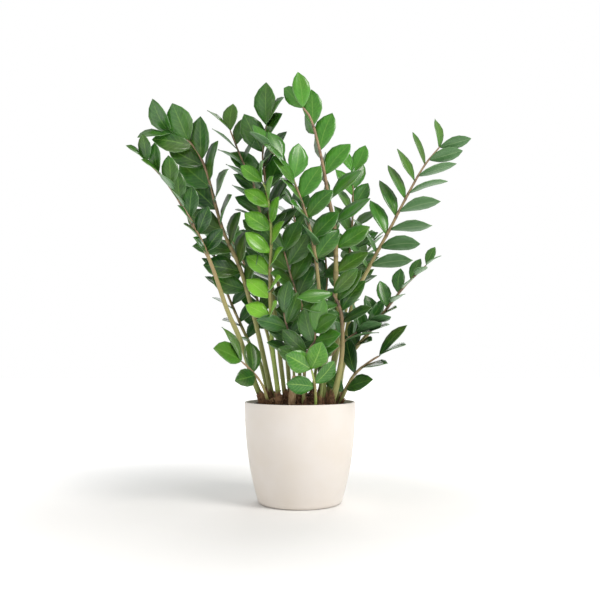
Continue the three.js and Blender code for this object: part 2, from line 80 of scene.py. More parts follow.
def add_node(
    tree: bpy.types.NodeTree, kind: str, inputs: dict[Any, Any], **settings: Any
) -> bpy.types.Node:
    """Add a shader node with its settings and links.

    Args:
        tree: The material's node tree.
        kind: The node's type, without its "ShaderNode" prefix.
        inputs: Socket name or index to a constant, or to the output socket that feeds it.
        **settings: Properties of the node. "stops" gives a colour ramp's (position, colour) pairs.

    Returns:
        The new node.
    """
    made = tree.nodes.new("ShaderNode" + kind)
    stops = settings.pop("stops", None)
    for key, value in settings.items():
        setattr(made, key, value)
    if stops:
        ramp = made.color_ramp
        while len(ramp.elements) < len(stops):
            ramp.elements.new(0.5)
        for element, (position, colour) in zip(ramp.elements, stops):
            element.position = position
            element.color = colour
    for key, value in inputs.items():
        if isinstance(value, bpy.types.NodeSocket):
            tree.links.new(value, made.inputs[key])
        else:
            made.inputs[key].default_value = value
    return made


def grey(value: float) -> tuple[float, float, float, float]:
    """Return a grey for a colour ramp's stop."""
    return (value, value, value, 1.0)


def finish_piece(
    bm: bmesh.types.BMesh, name: str, material: bpy.types.Material, slot: str, *replaced: str
) -> bpy.types.Object:
    """Turn a bmesh into a smooth-shaded piece that rides on the plant's one body.

    Args:
        bm: The shape, in metres, in place. It is freed.
        name: The piece's name.
        material: Its finish.
        slot: The record's material slot that the finish belongs to. It is not used.
        *replaced: The CAD nodes that the piece stands for.

    Returns:
        The new object.
    """
    mesh = bpy.data.meshes.new(name)
    bm.to_mesh(mesh)
    bm.free()
    mesh.materials.append(material)
    mesh.shade_smooth()
    piece = bpy.data.objects.new(name, mesh)
    bpy.context.scene.collection.objects.link(piece)
    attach(piece, BODY)
    if replaced:
        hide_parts(*replaced)
    LOG.info("%s: %d faces", name, len(mesh.polygons))
    return piece


def spun(profile: Sequence[tuple[float, float]], segments: int) -> bmesh.types.BMesh:
    """Spin a profile once round Z.

    Args:
        profile: (radius, height) points in millimetres; an end on the axis is closed there.
        segments: How many faces go round.

    Returns:
        A bmesh in metres with its normals pointing outwards.
    """
    bm = bmesh.new()
    points = [bm.verts.new((radius * MM, 0.0, height * MM)) for radius, height in profile]
    edges = [bm.edges.new(pair) for pair in zip(points, points[1:])]
    bmesh.ops.spin(
        bm,
        geom=points + edges,
        cent=(0, 0, 0),
        axis=(0, 0, 1),
        angle=2 * math.pi,
        steps=segments,
        use_merge=True,
    )
    bmesh.ops.remove_doubles(bm, verts=bm.verts, dist=1e-6)
    bmesh.ops.recalc_face_normals(bm, faces=bm.faces)
    return bm


def patch(
    columns: int, rows: int, place: Callable[[float, float], Vector], uv_name: str
) -> bmesh.types.BMesh:
    """Make a rectangular patch and lay it on a surface.

    Args:
        columns: Faces across it.
        rows: Faces along it.
        place: Gives the point, in metres, for a share across and a share along.
        uv_name: Name of the UV map that keeps those two shares.

    Returns:
        The bmesh, with its corners' shares in the UV map.
    """
    bm = bmesh.new()
    layer = bm.loops.layers.uv.new(uv_name)
    bmesh.ops.create_grid(bm, x_segments=columns, y_segments=rows, size=0.5)
    shares = {v: (v.co.x + 0.5, v.co.y + 0.5) for v in bm.verts}
    for face in bm.faces:
        for loop in face.loops:
            loop[layer].uv = shares[loop.vert]
    for vert, (across, along) in shares.items():
        vert.co = place(across, along)
    return bm


# ---------------------------------------------------------------- finishes


class Slot(Enum):
    """The record's material slots."""

    PLANTER = "planter"
    GROWER_POT = "grower_pot"
    SOIL = "soil"
    RHIZOME = "rhizome"
    DRY = "dry_husk"
    YOUNG = "leaf_young"
    MATURE = "leaf_mature"
    OLD = "leaf_old"


@dataclass(frozen=True)
class Finish:
    """What every finish has: a name, and a Principled shader on an empty tree."""

    name: str

    def start(self, **constants: Any) -> tuple[bpy.types.Material, Callable[..., bpy.types.Node]]:
        """Make the material with its shader.

        Args:
            **constants: Shader sockets that are the same all over, with _ for a space.

        Returns:
            The material, and add_node with the material's tree already given.
        """
        material = bpy.data.materials.new(self.name)
        material.use_nodes = True
        material.node_tree.nodes.clear()
        add = functools.partial(add_node, material.node_tree)
        shader = add("BsdfPrincipled", {key.replace("_", " "): value for key, value in constants.items()})
        shader.name = "shader"
        add("OutputMaterial", {"Surface": shader.outputs[0]})
        return material, add

    @staticmethod
    def end(material: bpy.types.Material, **made: bpy.types.NodeSocket) -> bpy.types.Material:
        """Link what was made to the shader's sockets, named with _ for a space, and return the material."""
        for key, socket in made.items():
            tree = material.node_tree
            tree.links.new(socket, tree.nodes["shader"].inputs[key.replace("_", " ")])
        return material


@dataclass(frozen=True)
class MouldedPolypropylene(Finish):
    """Injection-moulded polypropylene with a spark-eroded skin: soft satin, a fine even grain, and a faint
    cloudiness where the melt cooled at different speeds."""

    colour: str
    shade: str
    roughness: float
    grain_mm: float = 0.9  # real grain is about 0.15 mm, drawn coarser so that it shows
    grain_depth_mm: float = 0.03

    def make(self) -> bpy.types.Material:
        """Return the material."""
        material, add = self.start(IOR=1.49, Specular_IOR_Level=0.4)
        where = add("TexCoord", {}).outputs["Object"]
        cloud = add("TexNoise", {"Vector": where, "Scale": 14.0, "Detail": 3.0}).outputs["Fac"]
        stops = [(0.3, linear(self.shade)), (0.7, linear(self.colour))]
        grain = add("TexNoise", {"Vector": where, "Scale": 1 / (self.grain_mm * MM), "Detail": 2.0})
        height = grain.outputs["Fac"]
        low, high = self.roughness - 0.06, self.roughness + 0.08
        depth = self.grain_depth_mm * MM
        return self.end(
            material,
            Base_Color=add("ValToRGB", {"Fac": cloud}, stops=stops).outputs[0],
            Roughness=add("MapRange", {"Value": height, "To Min": low, "To Max": high}).outputs[0],
            Normal=add("Bump", {"Height": height, "Strength": 0.35, "Distance": depth}).outputs[0],
        )


@dataclass(frozen=True)
class PottingMix(Finish):
    """Damp peat and composted bark: dark brown crumbs with paler fibres and no shine."""

    dark: str = "241811"
    light: str = "5c4231"
    fibre: str = "86684c"
    crumb_mm: float = 5.0

    def make(self) -> bpy.types.Material:
        """Return the material."""
        material, add = self.start(IOR=1.4, Specular_IOR_Level=0.2)
        where = add("TexCoord", {}).outputs["Object"]
        crumbs = add("TexNoise", {"Vector": where, "Scale": 1 / (self.crumb_mm * MM), "Detail": 6.0})
        fine = add("TexNoise", {"Vector": where, "Scale": 900.0, "Detail": 2.0, "Distortion": 1.5})
        fibres = fine.outputs["Fac"]
        stops = [(0.32, linear(self.dark)), (0.55, linear(self.light)), (0.72, linear(self.fibre))]
        return self.end(
            material,
            Base_Color=add("ValToRGB", {"Fac": crumbs.outputs["Fac"]}, stops=stops).outputs[0],
            Roughness=add("MapRange", {"Value": fibres, "To Min": 0.75, "To Max": 1.0}).outputs[0],
            Normal=add("Bump", {"Height": fibres, "Strength": 0.8, "Distance": 0.8 * MM}).outputs[0],
        )


@dataclass(frozen=True)
class DryFibre(Finish):
    """Dead plant fibre, as in a husk, a bark chip or a cork skin: tan to dark brown, matt, and streaked
    along the grain."""

    light: str = "a98a68"
    dark: str = "5a4030"
    fibre_mm: float = 1.2

    def make(self) -> bpy.types.Material:
        """Return the material."""
        material, add = self.start(IOR=1.45, Specular_IOR_Level=0.3)
        where = add("TexCoord", {}).outputs["Object"]
        stretched = add("Mapping", {"Vector": where, "Scale": (1.0, 1.0, 0.12)}).outputs[0]
        fibre = add("TexNoise", {"Vector": stretched, "Scale": 1 / (self.fibre_mm * MM), "Detail": 4.0})
        streaks = fibre.outputs["Fac"]
        patches = add("TexNoise", {"Vector": where, "Scale": 90.0, "Detail": 3.0}).outputs["Fac"]
        both = add("Math", {0: streaks, 1: patches}, operation="ADD").outputs[0]
        half = add("Math", {0: both, 1: 0.5}, operation="MULTIPLY").outputs[0]
        stops = [(0.38, linear(self.dark)), (0.62, linear(self.light))]
        return self.end(
            material,
            Base_Color=add("ValToRGB", {"Fac": half}, stops=stops).outputs[0],
            Roughness=add("MapRange", {"Value": patches, "To Min": 0.6, "To Max": 0.9}).outputs[0],
            Normal=add("Bump", {"Height": streaks, "Strength": 0.7, "Distance": 0.4 * MM}).outputs[0],
        )


@dataclass(frozen=True)
class WaxyLeaf(Finish):
    """A living ZZ leaflet: thick, waxed and glossy above with a pale midrib and faint side veins, greyer
    and duller below. Young blades are a bright yellow-green and old ones a deep blue-green."""

    dark: str
    light: str
    rib: str = "7fae4c"
    olive: str = "556f1e"
    olive_share: float = 0.45
    under: str = "3f6e38"
    under_light: str = "658d5c"
    under_rib: str = "8fae7a"
    margin: str = "9cbc8c"
    roughness: float = 0.3
    duller: float = 0.22  # how much rougher the underside is
    rib_strength: float = 0.42
    veins: float = 11.0  # pairs of side veins on a blade
    slant: float = 2.4  # how far a side vein runs up the blade on its way to the edge, in vein spacings

    def make(self) -> bpy.types.Material:
        """Return the material."""
        material, add = self.start(IOR=1.45, Specular_IOR_Level=0.55, Coat_Weight=0.25, Coat_Roughness=0.22)

        def mask(value: bpy.types.NodeSocket, *stops: tuple[float, float]) -> bpy.types.NodeSocket:
            """Return a grey ramp of a value, from its (position, brightness) stops."""
            shades = [(position, grey(shade)) for position, shade in stops]
            return add("ValToRGB", {"Fac": value}, stops=shades).outputs[0]

        def blend(share: Any, under: Any, over: Any) -> bpy.types.NodeSocket:
            """Return a colour that goes from one to another with a share."""
            return add("Mix", {0: share, 6: under, 7: over}, data_type="RGBA").outputs[2]

        def maths(operation: str, *values: Any) -> bpy.types.NodeSocket:
            """Return the result of one sum."""
            return add("Math", dict(enumerate(values)), operation=operation).outputs[0]

        where = add("TexCoord", {}).outputs["Object"]
        blade = add("SeparateXYZ", {0: add("UVMap", {}, uv_map="blade").outputs[0]}).outputs
        off = maths("ABSOLUTE", maths("SUBTRACT", blade["X"], 0.5))
        rib = mask(off, (0.0, 1.0), (0.014, 0.8), (0.038, 0.0))
        along = maths("MULTIPLY", blade["Y"], self.veins)
        slanted = maths("MULTIPLY_ADD", off, -2 * self.slant, along)
        vein = mask(maths("PINGPONG", slanted, 0.5), (0.0, 1.0), (0.16, 0.0))
        below = add("Attribute", {}, attribute_name="underside").outputs["Fac"]
        tone = add("Attribute", {}, attribute_name="tone").outputs["Fac"]
        mottle = add(
            "TexNoise", {"Vector": where, "Scale": 70.0, "Detail": 4.0, "Roughness": 0.6}
        ).outputs["Fac"]
        fine = add("TexNoise", {"Vector": where, "Scale": 900.0, "Detail": 3.0}).outputs["Fac"]
        drift = add("TexNoise", {"Vector": where, "Scale": 13.0, "Detail": 2.0}).outputs["Fac"]
        spread = add("MapRange", {"Value": mottle, "To Min": -0.36, "To Max": 0.36}).outputs[0]
        shown = add("Math", {0: tone, 1: spread}, operation="ADD", use_clamp=True).outputs[0]
        upper = blend(shown, linear(self.dark), linear(self.light))
        upper = blend(mask(drift, (0.45, 0.0), (0.65, self.olive_share)), upper, linear(self.olive))
        upper = blend(maths("MULTIPLY", vein, 0.16), upper, linear(self.rib))
        upper = blend(maths("MULTIPLY", rib, self.rib_strength), upper, linear(self.rib))
        lower = blend(mottle, linear(self.under), linear(self.under_light))
        lower = blend(maths("MULTIPLY", rib, 0.6), lower, linear(self.under_rib))
        edge = mask(off, (0.455, 0.0), (0.495, 0.35))
        rough = add(
            "MapRange", {"Value": below, "To Min": self.roughness, "To Max": self.roughness + self.duller}
        )
        grain = add("MapRange", {"Value": fine, "To Min": -0.06, "To Max": 0.08}).outputs[0]
        relief = maths("MULTIPLY_ADD", fine, -0.25, maths("MULTIPLY_ADD", vein, 0.3, rib))
        dents = {"Height": relief, "Strength": 0.4, "Distance": 0.12 * MM}
        return self.end(
            material,
            Base_Color=blend(edge, blend(below, upper, lower), linear(self.margin)),
            Roughness=maths("ADD", grain, rough.outputs[0]),
            Normal=add("Bump", dents, invert=True).outputs[0],
        )


@dataclass(frozen=True)
class FleshyStalk(Finish):
    """A living ZZ stalk: smooth and fleshy, green and speckled at the crown, paler in the middle, and
    tanned pink-brown with dark rings at the leaflets' joints."""

    crown: str = "7f8a4a"
    middle: str = "a3a066"
    upper: str = "a08c64"
    tip: str = "a0866a"
    speck: str = "4f4a2c"
    ring: str = "4a3a3a"

    def make(self) -> bpy.types.Material:
        """Return the material."""
        material, add = self.start(IOR=1.42, Specular_IOR_Level=0.45)
        where = add("TexCoord", {}).outputs["Object"]
        height = add("SeparateXYZ", {0: add("UVMap", {}, uv_map="stalk").outputs[0]}).outputs["Y"]
        blush = add("TexNoise", {"Vector": where, "Scale": 45.0, "Detail": 3.0}).outputs["Fac"]
        drift = add("MapRange", {"Value": blush, "To Min": -0.14, "To Max": 0.14}).outputs[0]
        moved = add("Math", {0: drift, 1: height}, operation="ADD").outputs[0]
        shades = zip((0.05, 0.35, 0.6, 0.85), (self.crown, self.middle, self.upper, self.tip))
        stops = [(position, linear(shade)) for position, shade in shades]
        ground = add("ValToRGB", {"Fac": moved}, stops=stops).outputs[0]
        flat = add("Mapping", {"Vector": where, "Scale": (1.0, 1.0, 0.45)}).outputs[0]
        cells = add("TexVoronoi", {"Vector": flat, "Scale": 330.0}).outputs["Distance"]
        speck = add("ValToRGB", {"Fac": cells}, stops=[(0.1, grey(0.55)), (0.2, grey(0.0))]).outputs[0]
        skin = add("Mix", {0: speck, 6: ground, 7: linear(self.speck)}, data_type="RGBA").outputs[2]
        ring = add("Attribute", {}, attribute_name="joint").outputs["Fac"]
        return self.end(
            material,
            Base_Color=add("Mix", {0: ring, 6: skin, 7: linear(self.ring)}, data_type="RGBA").outputs[2],
            Roughness=add("MapRange", {"Value": blush, "To Min": 0.32, "To Max": 0.5}).outputs[0],
            Normal=add("Bump", {"Height": cells, "Strength": 0.25, "Distance": 0.2 * MM}).outputs[0],
        )


@functools.cache
def dressed(finish: Finish) -> bpy.types.Material:
    """Return a finish's material, made once."""
    return finish.make()


class Age(Enum):
    """How old a frond is, which sets its slot and its finishes."""

    YOUNG = (
        Slot.YOUNG,
        WaxyLeaf("waxy_leaf_young", "2f7420", "86cc34", rib="b2dc68", roughness=0.28, olive_share=0.2),
        FleshyStalk("fleshy_stalk_young", middle="9fb85c", tip="a3b565", ring="6a5a3c"),
    )
    MATURE = (
        Slot.MATURE,
        WaxyLeaf("waxy_leaf_mature", "123f13", "50982a"),
        FleshyStalk("fleshy_stalk_mature"),
    )
    OLD = (
        Slot.OLD,
        WaxyLeaf("waxy_leaf_old", "12391a", "3c7c28", roughness=0.33),
        FleshyStalk("fleshy_stalk_old", middle="8e9a5c"),
    )

    @property
    def slot(self) -> Slot:
        """Return the record's material slot."""
        return self.value[0]

    @property
    def leaf(self) -> WaxyLeaf:
        """Return the leaflets' finish."""
        return self.value[1]

    @property
    def stalk(self) -> FleshyStalk:
        """Return the stalk's finish."""
        return self.value[2]


# ---------------------------------------------------------------- planter and grower's pot


@dataclass
class Planter:
    """The round cream planter. Sizes in millimetres."""

    rim_radius: float = 105.0
    foot_radius: float = 78.0
    height: float = 189.0
    wall: float = 3.5
    floor: float = 4.5
    foot_round: float = 9.0
    belly: float = 2.15
    segments: int = 128
    finish: MouldedPolypropylene = field(
        default_factory=lambda: MouldedPolypropylene(
            "moulded_polypropylene_cream", "ebe5df", "e7dfd5", 0.42
        )
    )

    def radius(self, height: float) -> float:
        """Return the outside radius at a height."""
        down = 1 - height / self.height
        return self.rim_radius - (self.rim_radius - self.foot_radius) * down**self.belly

    def profile(self) -> list[tuple[float, float]]:
        """Return the turned outline, from the middle of the underside to the middle of the floor."""
        flat = self.radius(self.foot_round) - self.foot_round
        recess = 1.2
        outline = [(0.0, recess), (flat - 6.0, recess), (flat - 4.5, 0.0)]
        for step in range(9):
            turn = math.radians(90 * step / 9)
            outline.append(
                (flat + self.foot_round * math.sin(turn), self.foot_round * (1 - math.cos(turn)))
            )
        lip = self.wall / 2
        steps = 28
        for step in range(steps + 1):
            height = mix(self.foot_round, self.height - lip, step / steps)
            outline.append((self.radius(height), height))
        centre = self.radius(self.height) - lip
        for step in range(1, 8):
            turn = math.pi * step / 8
            outline.append((centre + lip * math.cos(turn), self.height - lip + lip * math.sin(turn)))
        for step in range(steps + 1):
            height = mix(self.height - lip, self.floor + 3.0, step / steps)
            outline.append((self.radius(max(height, self.foot_round)) - self.wall, height))
        inner = self.radius(self.foot_round) - self.wall
        return outline + [(inner - 1.0, self.floor + 0.9), (inner - 3.0, self.floor), (0.0, self.floor)]

    def build(self) -> bpy.types.Object:
        """Build and dress the planter."""
        bm = spun(self.profile(), self.segments)
        return finish_piece(bm, "planter_shell", dressed(self.finish), Slot.PLANTER.value, "planter")


@dataclass
class GrowerPot:
    """The thin black pot the plant was raised in. Sizes in millimetres."""

    rim_radius: float = 88.0
    taper: float = 26.0
    rim: float = 185.0  # height of its rim
    underside: float = 4.8
    wall: float = 1.4
    floor: float = 1.6
    rim_band: float = 12.0
    rim_proud: float = 2.2
    foot_ring: float = 4.0
    segments: int = 96
    finish: MouldedPolypropylene = field(
        default_factory=lambda: MouldedPolypropylene("moulded_polypropylene_black", "262320", "1b1917", 0.5)
    )

    def build(self) -> bpy.types.Object:
        """Build and dress the pot."""
        side = self.rim_radius - self.rim_proud
        foot = self.rim_radius - self.taper
        band = self.rim - self.rim_band
        inside = self.underside + self.foot_ring
        profile = [
            (0.0, inside),
            (foot - 4.4, inside),
            (foot - 3.0, self.underside),
            (foot, self.underside),
            (side, band),
            (self.rim_radius - 0.4, band),
            (self.rim_radius, band + 0.5),
            (self.rim_radius, self.rim - 0.5),
            (self.rim_radius - 0.5, self.rim),
            (self.rim_radius - self.wall + 0.4, self.rim),
            (self.rim_radius - self.wall, self.rim - 0.5),
            (side - self.wall, band),
            (foot - self.wall, inside + self.floor),
            (0.0, inside + self.floor),
        ]
        bm = spun(profile, self.segments)
        return finish_piece(
            bm, "grower_pot_shell", dressed(self.finish), Slot.GROWER_POT.value, "grower_pot"
        )


# ---------------------------------------------------------------- stems


@dataclass(frozen=True)
class Axes:
    """A point of a stem and the directions there: along it, out of its upper face, and to its side."""

    point: Vector
    tangent: Vector
    face: Vector
    side: Vector

    def around(self, angle: float, radius: float) -> Vector:
        """Return the point at an angle round the stem, from its side towards its face."""
        return self.point + (self.side * math.cos(angle) + self.face * math.sin(angle)) * radius


class StemCurve:
    """A smooth curve through a stem's route, in millimetres, walked by share of its length."""

    ROOTED = 14.0  # how far it reaches below the soil's edge
    SOIL_EDGE = 179.0
    SEGMENT = 46.0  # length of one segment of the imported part's stems
    SAMPLES = 200

    def __init__(self, route: Sequence[tuple[float, float, float]]) -> None:
        """Measure the curve along its length.

        Args:
            route: Points [x, y, height above the soil's edge], from the crown to the tip.
        """
        points = [Vector((x, y, self.SOIL_EDGE + height)) for x, y, height in route]
        points.insert(0, points[0] - Vector((0, 0, self.ROOTED)))
        self._points = points
        samples = [self._at(i / self.SAMPLES) for i in range(self.SAMPLES + 1)]
        self._lengths = [0.0]
        for a, b in zip(samples, samples[1:]):
            self._lengths.append(self._lengths[-1] + (b - a).length)
        self.length = self._lengths[-1]
        segments = max(3, math.floor(self.length / self.SEGMENT + 0.5))
        self.corners = [self.smooth(i / segments) for i in range(segments + 1)]

    def _at(self, t: float) -> Vector:
        """Return the Catmull-Rom curve's point at a share of its parameter."""
        points = self._points
        place = t * (len(points) - 1)
        index = min(math.floor(place), len(points) - 2)
        weight = place - index
        before = points[index - 1] if index > 0 else 2 * points[0] - points[1]
        after = points[index + 2] if index + 2 < len(points) else 2 * points[-1] - points[-2]
        start, end = points[index], points[index + 1]
        first = 0.5 * (end - before)
        last = 0.5 * (after - start)
        square = -3 * start + 3 * end - 2 * first - last
        cube = 2 * start - 2 * end + first + last
        return start + first * weight + square * weight**2 + cube * weight**3

    def smooth(self, share: float) -> Vector:
        """Return the smooth curve's point at a share of its length."""
        wanted = clamp(share) * self.length
        low, high = 0, self.SAMPLES
        while high - low > 1:
            middle = (low + high) // 2
            if self._lengths[middle] <= wanted:
                low = middle
            else:
                high = middle
        step = self._lengths[high] - self._lengths[low]
        part = (wanted - self._lengths[low]) / step if step else 0.0
        return self._at((low + part) / self.SAMPLES)

    def faceted(self, share: float) -> Vector:
        """Return the point of the straight-segmented stem that the leaflets' poses are worked out on."""
        along = clamp(share) * (len(self.corners) - 1)
        index = min(math.floor(along), len(self.corners) - 2)
        return self.corners[index].lerp(self.corners[index + 1], along - index)

    def axes(self, share: float, toward: Vector, faceted: bool = False) -> Axes:
        """Return the point and directions at a share of the length.

        Args:
            share: How far along, from the crown at 0 to the tip at 1.
            toward: The direction that the upper face looks in, as nearly as it can.
            faceted: Walk the straight segments instead of the smooth curve.
        """
        walk = self.faceted if faceted else self.smooth
        step = 0.02
        tangent = (walk(share + step) - walk(share - step)).normalized()
        face = (toward - tangent * toward.dot(tangent)).normalized()
        return Axes(walk(share), tangent, face, tangent.cross(face))


STEM_FACING = Vector((0.3, -1.0, 0.2))


@dataclass(frozen=True)
class LeafRows:
    """Where a frond's leaflets start along it, how many pairs there are, and the largest one's size."""

    start: float
    pairs: int
    length: float
    width: float


@dataclass(frozen=True)
class Leaflet:
    """One leaflet's pose: where it starts, where it grows, what its upper side faces, and its size in
    millimetres. order runs from 0 at the first pair to 1 at the tip, and share is its place on the stem."""

    start: Vector
    along: Vector
    up: Vector
    length: float
    width: float
    order: float
    share: float


TURNS = [
    (0, 0), (0, 10), (0, -10), (9, 0), (-9, 0), (9, 10), (-9, -10), (9, -10), (-9, 10), (0, 20),
    (0, -20), (16, 0), (-16, 0), (14, 18), (-14, -18), (14, -18), (-14, 18), (0, 32), (0, -32),
]  # small turns, in degrees, by which a leaflet keeps clear of its neighbours: to the side, and up
SWAY = 9  # how far a leaflet's angles stray from the row's, in degrees
CURL = 0.24  # how far a blade bends back along its length, in radians
CUP = 0.2  # how far its edges stand up, as a share of the half-width


@dataclass
class Frond:
    """One ZZ frond: a fleshy stalk that thins into a rachis, with two rows of leaflets. Millimetres and
    degrees. Pairs of numbers run from the first leaflets to the last."""

    name: str
    age: Age
    route: list[tuple[float, float, float]]
    stem: tuple[float, float]
    face: tuple[float, float, float]
    fold: float
    roll: tuple[float, float]
    opening: tuple[float, float]
    size: tuple[float, float]
    leaves: LeafRows
    lean: float = 0.0  # how much more one row's upper sides turn to the tip than the other's
    tones: tuple[float, float] = (0.45, 0.55)  # lightness of the green, from dark at 0 to light at 1
    blade_columns: int = 4
    blade_rows: int = 7
    blade_thickness: float = 0.9
    stem_columns: int = 10
    ring_step: float = 6.0
    tone_stray: float = 0.16
    blade_roll: float = 0.28  # radians either way
    blade_twist: float = 0.16
    blade_bow: float = 0.05  # share of the length that a blade bends sideways

    def __post_init__(self) -> None:
        """Work out the stem's curve and seed the frond's own small irregularities."""
        self.curve = StemCurve(self.route)
        self.chance = random.Random(self.name)

    @property
    def node(self) -> str:
        """Return the name of the CAD node that the frond stands for."""
        return "frond_" + self.name

    def radius(self, share: float) -> float:
        """Return the stem's radius at a share of its length."""
        base, tip = self.stem
        return mix(tip, base, (1 - clamp(share)) ** 0.85)

    def pose(self, pair: int, row: int, swing: float, lift: float) -> Leaflet:
        """Return a leaflet's pose.

        Args:
            pair: The pair's number, from 0 at the bottom.
            row: -1 or 1, the side of the rachis.
            swing: How much further it opens from the rachis.
            lift: How much further it rises out of the frond's plane.
        """
        rows = self.leaves
        stagger = 0.0 if pair == rows.pairs - 1 else 0.16 * row
        order = clamp((pair + stagger) / (rows.pairs - 1))
        size = 1 - (1 - self.size[0]) * (1 - order) ** 2 - (1 - self.size[1]) * order**2
        jitter = math.sin(7.3 * pair + 2.1 * row + self.route[1][0])
        share = mix(rows.start, 0.995, order)
        axes = self.curve.axes(share, Vector(self.face), faceted=True)
        turn = math.radians(mix(*self.opening, order) + SWAY * jitter + swing)
        fold = math.radians(self.fold + SWAY * jitter + lift)
        roll = math.radians(mix(*self.roll, order) + row * self.lean + SWAY * jitter)
        out = axes.side * (row * math.cos(fold)) + axes.face * math.sin(fold)
        along = axes.tangent * math.cos(turn) + out * math.sin(turn)
        flat = axes.face * math.cos(fold) - axes.side * (row * math.sin(fold))
        flat = (flat - along * flat.dot(along)).normalized()
        tipward = (axes.tangent - along * axes.tangent.dot(along)).normalized()
        up = flat * math.cos(roll) + tipward * math.sin(roll)
        return Leaflet(axes.point, along, up, rows.length * size, rows.width * size, order, share)

    def grown(self) -> list[Leaflet]:
        """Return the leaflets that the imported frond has, each at the turn that it has there."""
        found = kdtree.KDTree(len(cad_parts[self.node].data.vertices))
        for index, vert in enumerate(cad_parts[self.node].data.vertices):
            found.insert(vert.co / MM, index)
        found.balance()
        leaflets = []
        for pair in range(self.leaves.pairs):
            for row in (-1, 1):
                tries = []
                for swing, lift in TURNS:
                    leaflet = self.pose(pair, row, swing, lift)
                    ahead = leaflet.along * math.sin(CURL) - leaflet.up * (1 - math.cos(CURL))
                    tip = leaflet.start + ahead * (leaflet.length / CURL)
                    tries.append((found.find(tip)[2], len(tries), leaflet))
                miss, _, best = min(tries)
                if miss < 1.0:
                    leaflets.append(best)
        return leaflets

    def outline(self, share: float) -> float:
        """Return a blade's half-width at a share of its length: full, then drawn out to a point."""
        pointed = 1 - 0.35 * clamp((share - 0.82) / 0.18)
        return max(math.sin(math.pi * share**1.1) ** 0.72 * pointed, 0.06 * (1 - share))

    def add_blade(self, bm: bmesh.types.BMesh, leaflet: Leaflet, tone: float) -> None:
        """Add one leaflet's blade.

        Args:
            bm: The frond's leaves.
            leaflet: Its pose.
            tone: How light its green is, from 0 to 1.
        """
        chance = self.chance
        start = leaflet.start + self.curve.smooth(leaflet.share) - self.curve.faceted(leaflet.share)
        rolled = chance.uniform(-self.blade_roll, self.blade_roll)
        upper = Matrix.Rotation(rolled, 3, leaflet.along) @ leaflet.up
        across = upper.cross(leaflet.along)
        length = leaflet.length * chance.uniform(0.97, 1.05)
        curl = CURL + chance.uniform(-0.1, 0.12)
        twist = chance.uniform(-self.blade_twist, self.blade_twist)
        wave, phase = chance.uniform(0.01, 0.035), chance.uniform(0, 2 * math.pi)
        bow = chance.uniform(-self.blade_bow, self.blade_bow)
        half = leaflet.width / 2 * chance.uniform(0.92, 1.06)
        foot = self.radius(leaflet.share) * 0.5

        def place(u: float, v: float) -> Vector:
            """Return a blade's point: v runs to its tip, a little closer together at the ends."""
            share = 0.5 - 0.5 * math.cos(math.pi * (0.08 + 0.92 * v)) if v > 0 else 0.0
            share = clamp((share - 0.0157 * (1 - v)))
            offset = (2 * u - 1) * half * self.outline(share)
            bend = curl * share
            forward = length * math.sin(bend) / curl
            drop = length * (1 - math.cos(bend)) / curl
            trough = CUP * (math.hypot(offset, 0.1 * half) - 0.1 * half)
            side_phase = phase + (3 if u < 0.5 else 0)
            ripple = wave * leaflet.width * (2 * u - 1) ** 2 * math.sin(9 * share + side_phase)
            turned = twist * share
            sideways = across * math.cos(turned) + upper * math.sin(turned)
            upward = upper * math.cos(turned) - across * math.sin(turned)
            point = start + leaflet.along * (forward + foot * (1 - share)) - upper * drop
            point += sideways * (offset + bow * length * math.sin(math.pi * share))
            return (point + upward * (trough + ripple)) * MM

        layer = bm.loops.layers.uv["blade"]
        made = bmesh.ops.create_grid(
            bm, x_segments=self.blade_columns, y_segments=self.blade_rows, size=0.5
        )["verts"]
        shares = {vert: (vert.co.x + 0.5, vert.co.y + 0.5) for vert in made}
        faces = {face for vert in made for face in vert.link_faces}
        for face in faces:
            for loop in face.loops:
                loop[layer].uv = shares[loop.vert]
        for vert, (u, v) in shares.items():
            vert.co = place(u, v)
        bmesh.ops.recalc_face_normals(bm, faces=list(faces))
        skin = bmesh.ops.solidify(bm, geom=list(faces), thickness=self.blade_thickness * MM)["geom"]
        blade = faces | {item for item in skin if isinstance(item, bmesh.types.BMFace)}
        blade |= {face for vert in made for face in vert.link_faces}
        verts = {vert for face in blade for vert in face.verts}
        for face in blade:
            face.normal_update()
        tones, under = bm.verts.layers.float["tone"], bm.verts.layers.float["underside"]
        for vert in verts:
            vert.normal_update()
            vert[tones] = tone
            vert[under] = 1.0 if vert.normal.dot(upper) < 0 else 0.0

    def build_leaves(self, leaflets: Sequence[Leaflet]) -> bpy.types.Object:
        """Build and dress the leaflets as one piece."""
        bm = bmesh.new()
        bm.loops.layers.uv.new("blade")
        bm.verts.layers.float.new("tone")
        bm.verts.layers.float.new("underside")
        for leaflet in leaflets:
            tone = mix(*self.tones, leaflet.order)
            tone += self.chance.uniform(-self.tone_stray, self.tone_stray)
            self.add_blade(bm, leaflet, clamp(tone))
        bmesh.ops.recalc_face_normals(bm, faces=bm.faces)
        return finish_piece(
            bm, self.node + "_leaves", dressed(self.age.leaf), self.age.slot.value, self.node
        )

    def build_stem(self, leaflets: Sequence[Leaflet]) -> bpy.types.Object:
        """Build and dress the stalk and rachis, a little swollen at each leaflet's joint."""
        joints = [leaflet.share * self.curve.length for leaflet in leaflets]
        phase = self.chance.uniform(0, 9)

        def joint(share: float, width: float) -> float:
            """Return how near a joint is, from 0 to 1, for a given width in millimetres."""
            place = share * self.curve.length
            return max((math.exp(-(((place - at) / width) ** 2)) for at in joints), default=0.0)

        def place(u: float, v: float) -> Vector:
            """Return a point of the stem's skin: u runs round it and v to its tip."""
            axes = self.curve.axes(v, STEM_FACING)
            angle = 2 * math.pi * u
            radius = self.radius(v) * (1 + 0.16 * joint(v, 4.0) + 0.03 * math.sin(40 * v + phase))
            radius *= 1 + 0.03 * math.cos(2 * angle + phase)
            if v > 0.995:
                radius *= 0.5
            return axes.around(angle, radius) * MM

